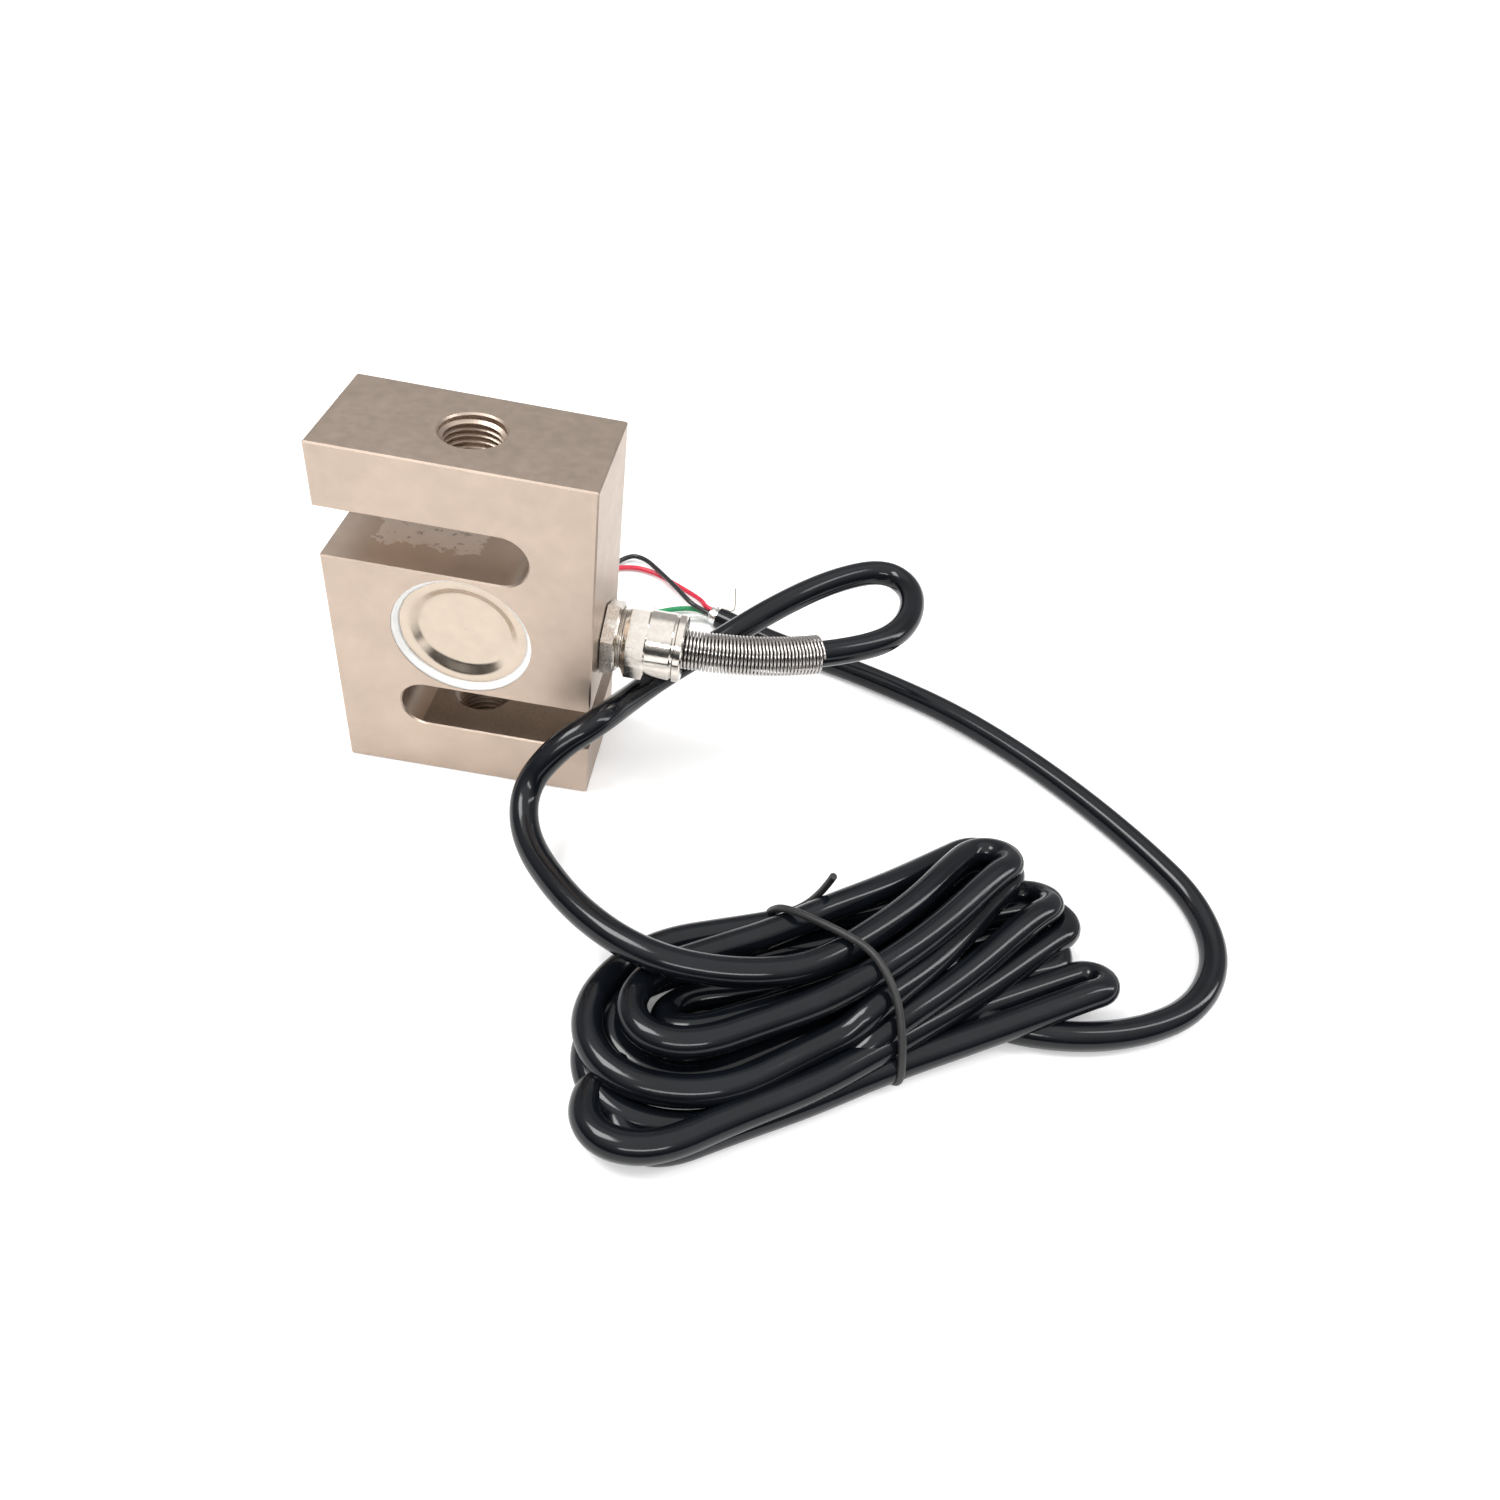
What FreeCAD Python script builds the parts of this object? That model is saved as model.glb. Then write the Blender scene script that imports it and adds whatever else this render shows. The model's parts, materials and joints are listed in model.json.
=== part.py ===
import FreeCAD, Part
import math
import os
import Sketcher

# S-beam load cell: a slotted block with a threaded hole in each arm, a gauged web behind a
# sealing cup on each side, and a screened four-core cable that leaves through a gland.
# Frame: +Z up, origin at the centre of the block's bottom face, +X towards the cable gland.
# Millimetres.

V = FreeCAD.Vector
doc = FreeCAD.newDocument("s_beam_load_cell")

# ---------------------------------------------------------------- driving dimensions
SIZES = [
    ("block_width", 50.8, "block, along X"),
    ("block_depth", 25.4, "block, along Y"),
    ("block_height", 76.2, "block, along Z"),
    ("arm_height", 13.1, "each loading arm"),
    ("slot_height", 10.6, "each slot, with a full-round end"),
    ("slot_reach", 13.1, "slot tip beyond the load axis"),
    ("edge_break", 0.3, "chamfer on the outer edges"),
    ("thread_radius", 6.0, "M12 fine-threaded hole, major radius"),
    ("countersink", 0.35, "45 degree mouth of the threaded holes"),
    ("seat_radius", 13.6, "counterbore that the sealing cup sits in"),
    ("seat_depth", 1.8, "counterbore depth"),
    ("chamber_radius", 11.6, "gauge chamber behind the cup"),
    ("web_thickness", 4.0, "gauged web left between the chambers"),
    ("web_hole_radius", 1.0, "wire hole through the web"),
    ("web_hole_x", -7.5, "wire hole, from the load axis"),
    ("web_hole_drop", 5.0, "wire hole below the block's mid height"),
    ("cup_rim_radius", 12.6, "pressed sealing cup, outside"),
    ("cup_shoulder_radius", 10.6, "inner edge of the cup's flange"),
    ("cup_floor_radius", 9.1, "flat floor of the cup"),
    ("cup_drop", 1.5, "floor below the flange"),
    ("cup_sheet", 0.4, "cup sheet thickness"),
    ("sealant_rise", 1.1, "sealant height up the counterbore wall, above the flange"),
    ("gauge_width", 8.8, "strain gauge backing, along X"),
    ("gauge_tall", 5.6, "strain gauge backing, along Z"),
    ("gauge_backing", 0.1, "backing thickness"),
    ("gauge_foil", 0.06, "grid foil thickness"),
    ("grid_reach", 1.8, "half diagonal of each foil grid"),
    ("board_width", 3.6, "terminal board, along X"),
    ("board_tall", 9.2, "terminal board, along Z"),
    ("board_sheet", 0.5, "terminal board thickness"),
    ("board_x", 7.1, "terminal board centre"),
    ("pad_pitch", 2.2, "between solder pads"),
    ("gland_drop", 3.9, "gland axis below the block's mid height"),
    ("gland_hole_radius", 5.0, "threaded gland hole in the block"),
    ("gland_hole_depth", 8.0, "gland hole depth"),
    ("passage_radius", 1.4, "lead passage to the front chamber"),
    ("passage_offset", 3.5, "passage axis in front of the gland axis"),
    ("thread_gap", 0.05, "radial clearance drawn in threaded joints"),
    ("gasket_thickness", 0.5, "gasket under the gland body"),
    ("gasket_radius", 6.9, "gasket outside"),
    ("spigot_length", 5.0, "gland body thread inside the block"),
    ("gland_flats", 13.9, "gland body across flats"),
    ("gland_hex_length", 2.7, "gland body hexagon"),
    ("neck_radius", 5.8, "gland body neck thread"),
    ("neck_length", 6.0, "gland body neck"),
    ("neck_show", 1.2, "neck thread left showing under the cap nut"),
    ("nut_flats", 14.1, "cap nut across flats"),
    ("nut_hex_length", 4.7, "cap nut hexagon"),
    ("sleeve_radius", 6.9, "cap nut sleeve"),
    ("sleeve_length", 5.1, "cap nut sleeve"),
    ("groove_width", 0.4, "groove between sleeve and rim"),
    ("groove_radius", 6.5, "groove bottom"),
    ("rim_length", 1.8, "cap nut rim ring"),
    ("hex_chamfer", 0.6, "30 degree chamfer on the hexagons"),
    ("seal_length", 2.7, "rubber bush in the cap nut"),
    ("washer_thickness", 0.5, "thrust washer behind the spring"),
    ("cable_radius", 2.8, "cable jacket"),
    ("cable_straight", 11.5, "first run of the free cable, straight out of the spring"),
    ("cable_gap", 0.2, "clearance round the cable in the gland"),
    ("cable_inset", 2.9, "jacket end inside the block, from its face"),
    ("spring_radius", 4.15, "strain relief spring, outside"),
    ("spring_wire", 0.72, "spring wire diameter"),
    ("spring_pitch", 1.1, "coil to coil"),
    ("spring_free", 28.4, "spring length beyond the cap nut"),
    ("spring_bend", 70.0, "radius that the spring is bent to"),
    ("lead_radius", 0.38, "insulated lead inside the block"),
    ("lead_spread", 0.56, "leads off the passage axis"),
    ("wire_radius", 0.65, "insulated wire at the cable's cut end"),
    ("wire_spread", 0.81, "each wire off the cable's axis, across and up, at the cut end"),
    ("wire_straight", 2.4, "first run of each wire, straight out of the foil"),
    ("drain_radius", 0.25, "bare drain wire"),
    ("shield_radius", 2.3, "foil and braid left at the cut end"),
    ("shield_length", 2.2, "foil and braid left at the cut end"),
    ("hank_x", 84.1, "hank centre"),
    ("hank_y", -52.4, "hank centre"),
    ("hank_turn", 26.6, "hank's long axis from +X, degrees"),
    ("hank_height", 16.5, "hank height"),
    ("hank_round", 4.5, "rounding of the hank's upper and lower edges"),
    ("hank_reach", 53.0, "hank centre to each end"),
    ("hank_lobe", 21.0, "half width of the hank's lobes"),
    ("hank_waist", 17.8, "half width at the tie"),
    ("tie_thickness", 1.5, "twist tie"),
    ("tie_gap", 0.08, "clearance between the tie and the hank"),
]

sheet = doc.addObject("Spreadsheet::Sheet", "sizes")
for row, (word, number, note) in enumerate(SIZES, start=1):
    sheet.set("A%d" % row, word)
    sheet.set("B%d" % row, str(number))
    sheet.set("C%d" % row, note)
    sheet.setAlias("B%d" % row, word)
doc.recompute()


def size(text):
    """Value of an expression over the sheet's words, in millimetres or degrees."""
    value = sheet.evalExpression(text)
    return float(getattr(value, "Value", value))


FACE = "sizes.block_width / 2"
GLAND_Z = "sizes.block_height / 2 - sizes.gland_drop"
PARTS = []


# ---------------------------------------------------------------- drawing helpers
def new_body(name, x="0", y="0", z="0"):
    """A PartDesign body whose place in the row frame is bound to the sheet."""
    body = doc.addObject("PartDesign::Body", name)
    body.Label = name
    for axis, text in (("x", x), ("y", y), ("z", z)):
        body.setExpression("Placement.Base." + axis, text)
    PARTS.append(body)
    return body


def new_sketch(body, role, offset="0"):
    """A sketch on one of the body's own origin planes, shifted along the plane's normal."""
    sketch = body.newObject("Sketcher::SketchObject", body.Name + "_sketch")
    plane = next(item for item in body.Origin.OriginFeatures if item.Role == role)
    sketch.AttachmentSupport = [(plane, "")]
    sketch.MapMode = "FlatFace"
    sketch.setExpression("AttachmentOffset.Base.z", offset)
    return sketch


def hold(sketch, kind, item, point, text):
    """Ties one coordinate of a sketch point to an expression."""
    number = sketch.addConstraint(Sketcher.Constraint(kind, -1, 1, item, point, size(text)))
    sketch.setExpression("Constraints[%d]" % number, text)


def draw_outline(sketch, corners, bows=None):
    """Closed outline; bows maps a corner's index to the middle of the arc that follows it."""
    bows = bows or {}
    first = sketch.GeometryCount
    count = len(corners)
    spots = [V(size(x), size(y), 0) for x, y in corners]
    for index, start in enumerate(spots):
        end = spots[(index + 1) % count]
        if index in bows:
            middle = V(*[size(text) for text in bows[index]], 0)
            clockwise = (middle - start).cross(end - middle).z < 0
            first_end, last_end = (end, start) if clockwise else (start, end)
            sketch.addGeometry(Part.Arc(first_end, middle, last_end), False)
        else:
            sketch.addGeometry(Part.LineSegment(start, end), False)
    for index, start in enumerate(spots):
        after = first + (index + 1) % count
        item = sketch.Geometry[first + index]
        ends = (1, 2) if item.StartPoint.distanceToPoint(start) < 1e-6 else (2, 1)
        following = sketch.Geometry[after]
        corner = spots[(index + 1) % count]
        near = 1 if following.StartPoint.distanceToPoint(corner) < 1e-6 else 2
        sketch.addConstraint(Sketcher.Constraint("Coincident", first + index, ends[1], after, near))
        hold(sketch, "DistanceX", first + index, ends[0], corners[index][0])
        hold(sketch, "DistanceY", first + index, ends[0], corners[index][1])
    return sketch


def draw_circle(sketch, x, y, radius):
    item = sketch.addGeometry(Part.Circle(V(size(x), size(y), 0), V(0, 0, 1), size(radius)), False)
    hold(sketch, "DistanceX", item, 3, x)
    hold(sketch, "DistanceY", item, 3, y)
    number = sketch.addConstraint(Sketcher.Constraint("Radius", item, size(radius)))
    sketch.setExpression("Constraints[%d]" % number, radius)
    return sketch


def hexagon(sketch, flats):
    """Hexagon with a corner up and down, two flats facing the sketch's first axis."""
    across = "(%s) / 2" % flats
    side = "(%s) / 2 / cos(30)" % flats
    draw_outline(sketch, [
        ("0", side), ("-" + across, side + " / 2"), ("-" + across, "-" + side + " / 2"),
        ("0", "-" + side), (across, "-" + side + " / 2"), (across, side + " / 2"),
    ])
    return sketch


def feature(body, kind, profile, **settings):
    """Adds a PartDesign feature; text settings become expressions."""
    item = body.newObject("PartDesign::" + kind, body.Name + "_" + kind.lower())
    item.Profile = profile
    for key, value in settings.items():
        if isinstance(value, str) and key not in ("SideType", "Type"):
            item.setExpression(key, value)
        else:
            setattr(item, key, value)
    doc.recompute()
    return item


def cut(body, kind, profile, **settings):
    """A feature that removes material, checked by volume."""
    before = body.Shape.Volume
    item = feature(body, kind, profile, **settings)
    assert body.Shape.Volume < before - 1e-3, item.Name + " cuts nothing"
    return item


def turned(body, corners, kind="Revolution", role="XZ_Plane", axis="V_Axis"):
    """Profile of (radius, height) corners turned about one axis of its sketch."""
    sketch = draw_outline(new_sketch(body, role), corners)
    work = cut if kind == "Groove" else feature
    return work(body, kind, sketch, ReferenceAxis=(sketch, [axis]), Angle=360.0)


def ring(body, inner, outer, length, start="0"):
    """Tube along the body's X axis."""
    sketch = new_sketch(body, "YZ_Plane", start)
    draw_circle(sketch, "0", "0", outer)
    if inner:
        draw_circle(sketch, "0", "0", inner)
    return feature(body, "Pad", sketch, Length=length)


def solid_part(name, shape, place=None):
    """A sub-part whose shape is worked out below from the sheet's sizes."""
    item = doc.addObject("Part::Feature", name)
    item.Label = name
    item.Shape = shape
    item.Placement = place or FreeCAD.Placement()
    PARTS.append(item)
    return item


# ---------------------------------------------------------------- elastic body
def elastic_body():
    half = "sizes.block_width / 2"
    tall = "sizes.block_height"
    arm = "sizes.arm_height"
    slot = "sizes.slot_height"
    root = "(sizes.slot_reach - sizes.slot_height / 2)"
    body = new_body("elastic_body")
    profile = draw_outline(new_sketch(body, "XZ_Plane"), [
        ("-" + half, "0"), (half, "0"), (half, arm), ("-" + root, arm),
        ("-" + root, arm + " + " + slot), (half, arm + " + " + slot), (half, tall), ("-" + half, tall),
        ("-" + half, tall + " - " + arm), (root, tall + " - " + arm),
        (root, tall + " - " + arm + " - " + slot), ("-" + half, tall + " - " + arm + " - " + slot),
    ], {
        3: ("-sizes.slot_reach", arm + " + " + slot + " / 2"),
        9: ("sizes.slot_reach", tall + " - " + arm + " - " + slot + " / 2"),
    })
    pad = feature(body, "Pad", profile, SideType="Symmetric", Length="sizes.block_depth")
    outer = []
    for number, edge in enumerate(pad.Shape.Edges, start=1):
        box = edge.BoundBox
        along_depth = box.YLength > 1e-6
        at_ends = abs(abs(box.XMin) - size(half)) < 1e-6 and not 1e-6 < box.ZMin < size(tall) - 1e-6
        if not along_depth or at_ends:
            outer.append("Edge%d" % number)
    edges = body.newObject("PartDesign::Chamfer", "elastic_body_edges")
    edges.Base = (pad, outer)
    edges.setExpression("Size", "sizes.edge_break")
    doc.recompute()

    for low, high in (("0", arm), (tall + " - " + arm, tall)):
        mouth = "sizes.thread_radius + sizes.countersink"
        turned(body, [
            ("0", low), (mouth, low), ("sizes.thread_radius", low + " + sizes.countersink"),
            ("sizes.thread_radius", high + " - sizes.countersink"), (mouth, high), ("0", high),
        ], kind="Groove")

    middle = tall + " / 2"
    for side, back in (("sizes.block_depth / 2", False), ("-sizes.block_depth / 2", True)):
        seat = draw_circle(new_sketch(body, "XZ_Plane", side), "0", middle, "sizes.seat_radius")
        cut(body, "Pocket", seat, Length="sizes.seat_depth", Reversed=back)
        chamber = draw_circle(new_sketch(body, "XZ_Plane", side), "0", middle, "sizes.chamber_radius")
        cut(body, "Pocket", chamber, Length="(sizes.block_depth - sizes.web_thickness) / 2", Reversed=back)

    wire_hole = draw_circle(new_sketch(body, "XZ_Plane"), "sizes.web_hole_x",
                            middle + " - sizes.web_hole_drop", "sizes.web_hole_radius")
    cut(body, "Pocket", wire_hole, SideType="Symmetric", Length="sizes.web_thickness + 1")

    gland = draw_circle(new_sketch(body, "YZ_Plane", half), "0", GLAND_Z, "sizes.gland_hole_radius")
    cut(body, "Pocket", gland, Length="sizes.gland_hole_depth")
    passage = draw_circle(new_sketch(body, "YZ_Plane", half), "-sizes.passage_offset", GLAND_Z,
                          "sizes.passage_radius")
    cut(body, "Pocket", passage, Length=half + " - sizes.chamber_radius + sizes.passage_radius * 2")
    return body


# ---------------------------------------------------------------- cups, sealant, gauges
def side_place(front):
    """Local frame of one side: +Z out of the block's face, at the block's mid height."""
    turn = FreeCAD.Rotation(V(1, 0, 0), 90 if front else -90)
    return turn


def place_on_side(body, front):
    body.Placement.Rotation = side_place(front)
    face = "-sizes.block_depth / 2" if front else "sizes.block_depth / 2"
    body.setExpression("Placement.Base.y", face)
    body.setExpression("Placement.Base.z", "sizes.block_height / 2")


def sealing_cup(name, front):
    body = new_body(name)
    place_on_side(body, front)
    flange = "(sizes.cup_sheet - sizes.seat_depth)"
    run = "(sizes.cup_shoulder_radius - sizes.cup_floor_radius)"
    lean = "sizes.cup_sheet * (sqrt(%s^2 + sizes.cup_drop^2) - %s) / sizes.cup_drop" % (run, run)
    floor = flange + " - sizes.cup_drop"
    turned(body, [
        ("0", floor), ("sizes.cup_floor_radius", floor), ("sizes.cup_shoulder_radius", flange),
        ("sizes.cup_rim_radius", flange), ("sizes.cup_rim_radius", "-sizes.seat_depth"),
        ("sizes.cup_shoulder_radius + " + lean, "-sizes.seat_depth"),
        ("sizes.cup_floor_radius + " + lean, floor + " - sizes.cup_sheet"),
        ("0", floor + " - sizes.cup_sheet"),
    ])
    return body


def sealant_ring(name, front):
    body = new_body(name)
    place_on_side(body, front)
    flange = "(sizes.cup_sheet - sizes.seat_depth)"
    turned(body, [
        ("sizes.cup_rim_radius", "-sizes.seat_depth"), ("sizes.seat_radius", "-sizes.seat_depth"),
        ("sizes.seat_radius", flange + " + sizes.sealant_rise"),
        ("(sizes.cup_rim_radius + 2 * sizes.seat_radius) / 3", flange + " + sizes.sealant_rise / 3"),
        ("sizes.cup_rim_radius", flange),
    ])
    return body


def strain_gauge(name, front):
    """Shear rosette: a backing with two foil grids at 45 degrees, bonded to the web."""
    body = new_body(name)
    body.Placement.Rotation = side_place(front)
    web = "-sizes.web_thickness / 2" if front else "sizes.web_thickness / 2"
    body.setExpression("Placement.Base.y", web)
    body.setExpression("Placement.Base.z", "sizes.block_height / 2")
    wide, tall = "sizes.gauge_width / 2", "sizes.gauge_tall / 2"
    backing = draw_outline(new_sketch(body, "XY_Plane"), [
        ("-" + wide, "-" + tall), (wide, "-" + tall), (wide, tall), ("-" + wide, tall)])
    feature(body, "Pad", backing, Length="sizes.gauge_backing")
    grids = new_sketch(body, "XY_Plane", "sizes.gauge_backing")
    for sign in ("-", ""):
        centre = sign + "(sizes.gauge_width / 4)"
        draw_outline(grids, [
            (centre, "-sizes.grid_reach"), (centre + " + sizes.grid_reach", "0"),
            (centre, "sizes.grid_reach"), (centre + " - sizes.grid_reach", "0")])
    feature(body, "Pad", grids, Length="sizes.gauge_foil")
    return body


def terminal_board():
    """Solder terminal strip on the front face of the web, beside the gauge."""
    body = new_body("terminal_board", "sizes.board_x")
    body.Placement.Rotation = side_place(True)
    body.setExpression("Placement.Base.y", "-sizes.web_thickness / 2")
    body.setExpression("Placement.Base.z", "sizes.block_height / 2")
    wide, tall = "sizes.board_width / 2", "sizes.board_tall / 2"
    board = draw_outline(new_sketch(body, "XY_Plane"), [
        ("-" + wide, "-" + tall), (wide, "-" + tall), (wide, tall), ("-" + wide, tall)])
    feature(body, "Pad", board, Length="sizes.board_sheet")
    return body


# ---------------------------------------------------------------- cable gland
HEX_START = "sizes.gasket_thickness"
NECK_START = HEX_START + " + sizes.gland_hex_length"
NUT_START = NECK_START + " + sizes.neck_show"
NECK_END = NECK_START + " + sizes.neck_length"
SEAL_END = NECK_END + " + sizes.seal_length"
WASHER_END = SEAL_END + " + sizes.washer_thickness"
SLEEVE_START = NUT_START + " + sizes.nut_hex_length"
GROOVE_START = SLEEVE_START + " + sizes.sleeve_length"
RIM_START = GROOVE_START + " + sizes.groove_width"
NUT_END = RIM_START + " + sizes.rim_length"
CABLE_BORE = "sizes.cable_radius + sizes.cable_gap"
NUT_BORE = "sizes.neck_radius + sizes.thread_gap"
SPRING_BORE = "sizes.spring_radius + sizes.thread_gap"


def gland_piece(name):
    return new_body(name, FACE, "0", GLAND_Z)


def hex_chamfer(body, flats, low, high, facing_low):
    """Turns a hexagon's corners down with a cone on one end."""
    corner = "(%s) / 2 / cos(30)" % flats
    outer = corner + " + 1"
    tip = "(%s) / 2" % flats
    slope = "sizes.hex_chamfer * (%s - %s) / (%s - %s)" % (outer, tip, corner, tip)
    if facing_low:
        points = [(low, tip), (low + " + " + slope, outer), (low, outer)]
    else:
        points = [(high, tip), (high, outer), (high + " - " + slope, outer)]
    sketch = draw_outline(new_sketch(body, "XZ_Plane"), points)
    return cut(body, "Groove", sketch, ReferenceAxis=(sketch, ["H_Axis"]), Angle=360.0)


def gland_gasket():
    body = gland_piece("gland_gasket")
    ring(body, "sizes.gland_hole_radius", "sizes.gasket_radius", "sizes.gasket_thickness")
    return body


def gland_body():
    body = gland_piece("gland_body")
    hexed = hexagon(new_sketch(body, "YZ_Plane", HEX_START), "sizes.gland_flats")
    feature(body, "Pad", hexed, Length="sizes.gland_hex_length")
    hex_chamfer(body, "sizes.gland_flats", HEX_START, NECK_START, False)
    spigot = draw_circle(new_sketch(body, "YZ_Plane", "-sizes.spigot_length"), "0", "0",
                         "sizes.gland_hole_radius - sizes.thread_gap")
    feature(body, "Pad", spigot, Length="sizes.spigot_length + sizes.gasket_thickness")
    neck = draw_circle(new_sketch(body, "YZ_Plane", NECK_START), "0", "0", "sizes.neck_radius")
    feature(body, "Pad", neck, Length="sizes.neck_length")
    bore = draw_circle(new_sketch(body, "YZ_Plane", NECK_END), "0", "0", CABLE_BORE)
    cut(body, "Pocket", bore, Length=NECK_END + " + sizes.spigot_length")
    return body


def gland_cap():
    body = gland_piece("gland_cap")
    hexed = hexagon(new_sketch(body, "YZ_Plane", NUT_START), "sizes.nut_flats")
    feature(body, "Pad", hexed, Length="sizes.nut_hex_length")
    hex_chamfer(body, "sizes.nut_flats", NUT_START, SLEEVE_START, True)
    for start, length, radius in (
            (SLEEVE_START, "sizes.sleeve_length", "sizes.sleeve_radius"),
            (GROOVE_START, "sizes.groove_width", "sizes.groove_radius"),
            (RIM_START, "sizes.rim_length", "sizes.sleeve_radius")):
        step = draw_circle(new_sketch(body, "YZ_Plane", start), "0", "0", radius)
        feature(body, "Pad", step, Length=length)
    cavity = draw_circle(new_sketch(body, "YZ_Plane", NUT_START), "0", "0", NUT_BORE)
    cut(body, "Pocket", cavity, Length=WASHER_END + " - (" + NUT_START + ")", Reversed=True)
    mouth = draw_circle(new_sketch(body, "YZ_Plane", NUT_END), "0", "0", SPRING_BORE)
    cut(body, "Pocket", mouth, Length=NUT_END + " - (" + WASHER_END + ")")
    return body


def gland_inserts():
    seal = gland_piece("gland_seal")
    ring(seal, "sizes.cable_radius", "sizes.neck_radius", "sizes.seal_length", NECK_END)
    washer = gland_piece("thrust_washer")
    ring(washer, CABLE_BORE, "sizes.neck_radius", "sizes.washer_thickness", SEAL_END)
    return seal, washer


# ---------------------------------------------------------------- routes
# Share of the shorter run that an arc takes up on each side of a corner.
ARC_SHARE = 0.45


def rounded_path(points, radius=None):
    """Wire of straight runs and tangent arcs, and the arc radii."""
    edges, radii = [], []
    here = points[0]
    for before, corner, after in zip(points, points[1:], points[2:]):
        back, ahead = before - corner, after - corner
        turn = math.pi - back.getAngle(ahead)
        reach = ARC_SHARE * min(back.Length, ahead.Length)
        if radius:
            reach = min(reach, radius * math.tan(turn / 2))
        radii.append(reach / math.tan(turn / 2))
        back, ahead = back.normalize(), ahead.normalize()
        start, end = corner + back * reach, corner + ahead * reach
        inward = (back + ahead).normalize()
        middle = corner + inward * (radii[-1] / math.cos(turn / 2) - radii[-1])
        edges.append(Part.LineSegment(here, start).toShape())
        edges.append(Part.Arc(start, middle, end).toShape())
        here = end
    edges.append(Part.LineSegment(here, points[-1]).toShape())
    return Part.Wire(edges), radii


def tube(points, radius, bend=None):
    """Round bar along a route, with its volume compared with section times length."""
    path, radii = rounded_path(points, bend)
    start = (points[1] - points[0]).normalize()
    section = Part.Wire(Part.makeCircle(radius, points[0], start))
    shape = path.makePipeShell([section], True, False)
    expected = math.pi * radius ** 2 * path.Length
    assert abs(shape.Volume / expected - 1) < 0.01, "a tube's volume is off"
    return shape, path.Length, radii


def spring_frame(distance):
    """Point and outward frame of the gland's axis, bent sideways beyond the cap nut."""
    mouth = size(FACE + " + " + NUT_END)
    bend = size("sizes.spring_bend")
    angle = max(0.0, distance - mouth) / bend
    straight = min(distance, mouth)
    point = V(straight + bend * math.sin(angle), bend * (1 - math.cos(angle)), size(GLAND_Z))
    forward = V(math.cos(angle), math.sin(angle), 0)
    return point, forward, V(-math.sin(angle), math.cos(angle), 0)


SPRING_SIDES = 12


def strain_relief_spring():
    """Close-wound spring: a diamond wire section carried along a helix on the bent axis."""
    start = size(FACE + " + " + WASHER_END)
    end = size(FACE + " + " + NUT_END + " + sizes.spring_free")
    half_wire = size("sizes.spring_wire / 2")
    coil = size("sizes.spring_radius") - half_wire
    pitch = size("sizes.spring_pitch")
    turns = (end - start - 2 * half_wire) / pitch
    steps = int(turns * SPRING_SIDES)
    sections = []
    for step in range(steps + 1):
        angle = 2 * math.pi * step / SPRING_SIDES
        point, forward, side = spring_frame(start + half_wire + turns * pitch * step / steps)
        outward = side * math.cos(angle) + V(0, 0, 1) * math.sin(angle)
        centre = point + outward * coil
        rim = [centre + outward * half_wire, centre + forward * half_wire,
               centre - outward * half_wire, centre - forward * half_wire]
        sections.append(Part.makePolygon(rim + rim[:1]))
    return solid_part("strain_relief_spring", Part.makeLoft(sections, True, True))


def cable_entry():
    """The cable where the gland and its spring hold it."""
    start = V(size(FACE + " - sizes.cable_inset"), 0, size(GLAND_Z))
    mouth = spring_frame(size(FACE + " + " + NUT_END))[0]
    tip_at = size(FACE + " + " + NUT_END + " + sizes.spring_free")
    tip = spring_frame(tip_at)[0]
    middle = spring_frame(tip_at - size("sizes.spring_free") / 2)[0]
    path = Part.Wire([Part.LineSegment(start, mouth).toShape(), Part.Arc(mouth, middle, tip).toShape()])
    section = Part.Wire(Part.makeCircle(size("sizes.cable_radius"), start, V(1, 0, 0)))
    return solid_part("cable_entry", path.makePipeShell([section], True, False))


# ---------------------------------------------------------------- cable beyond the gland
def route(*spots):
    return [V(*spot) for spot in spots]


# From the spring's tip the cable loops up and back behind the gland, passes under it, rounds
# the block's corner and lies down onto the hank. The first two points follow from the spring.
NEAR_ROUTE = route(
    (88.3, 20.0, 34.6), (89.4, 32.5, 35.0), (82.6, 38.8, 35.0), (71.0, 32.2, 34.4),
    (58.6, 21.0, 32.3), (47.5, 12.0, 26.8), (37.6, 5.6, 21.2), (32.0, -4.8, 22.2),
    (28.2, -16.8, 26.4), (20.8, -22.4, 22.4), (15.6, -27.0, 14.2), (18.6, -37.2, 10.8),
    (28.6, -49.6, 12.0), (39.5, -57.6, 13.8), (50.0, -60.6, 14.0), (60.0, -60.0, 11.5))

# From under the hank it sweeps round over the bench to its cut end behind the gland.
FAR_ROUTE = route(
    (98.0, -50.0, 2.8), (112.0, -56.6, 2.8), (127.0, -57.0, 2.8), (141.5, -53.0, 2.8),
    (154.0, -44.5, 2.8), (161.0, -31.0, 2.8), (158.6, -16.5, 2.8), (149.0, -4.5, 2.8),
    (137.0, 7.5, 2.8), (123.0, 19.0, 2.8), (107.5, 29.0, 2.8), (91.5, 35.8, 2.8),
    (75.5, 41.0, 2.8), (60.0, 44.6, 2.8), (45.5, 50.6, 2.8))

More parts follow.
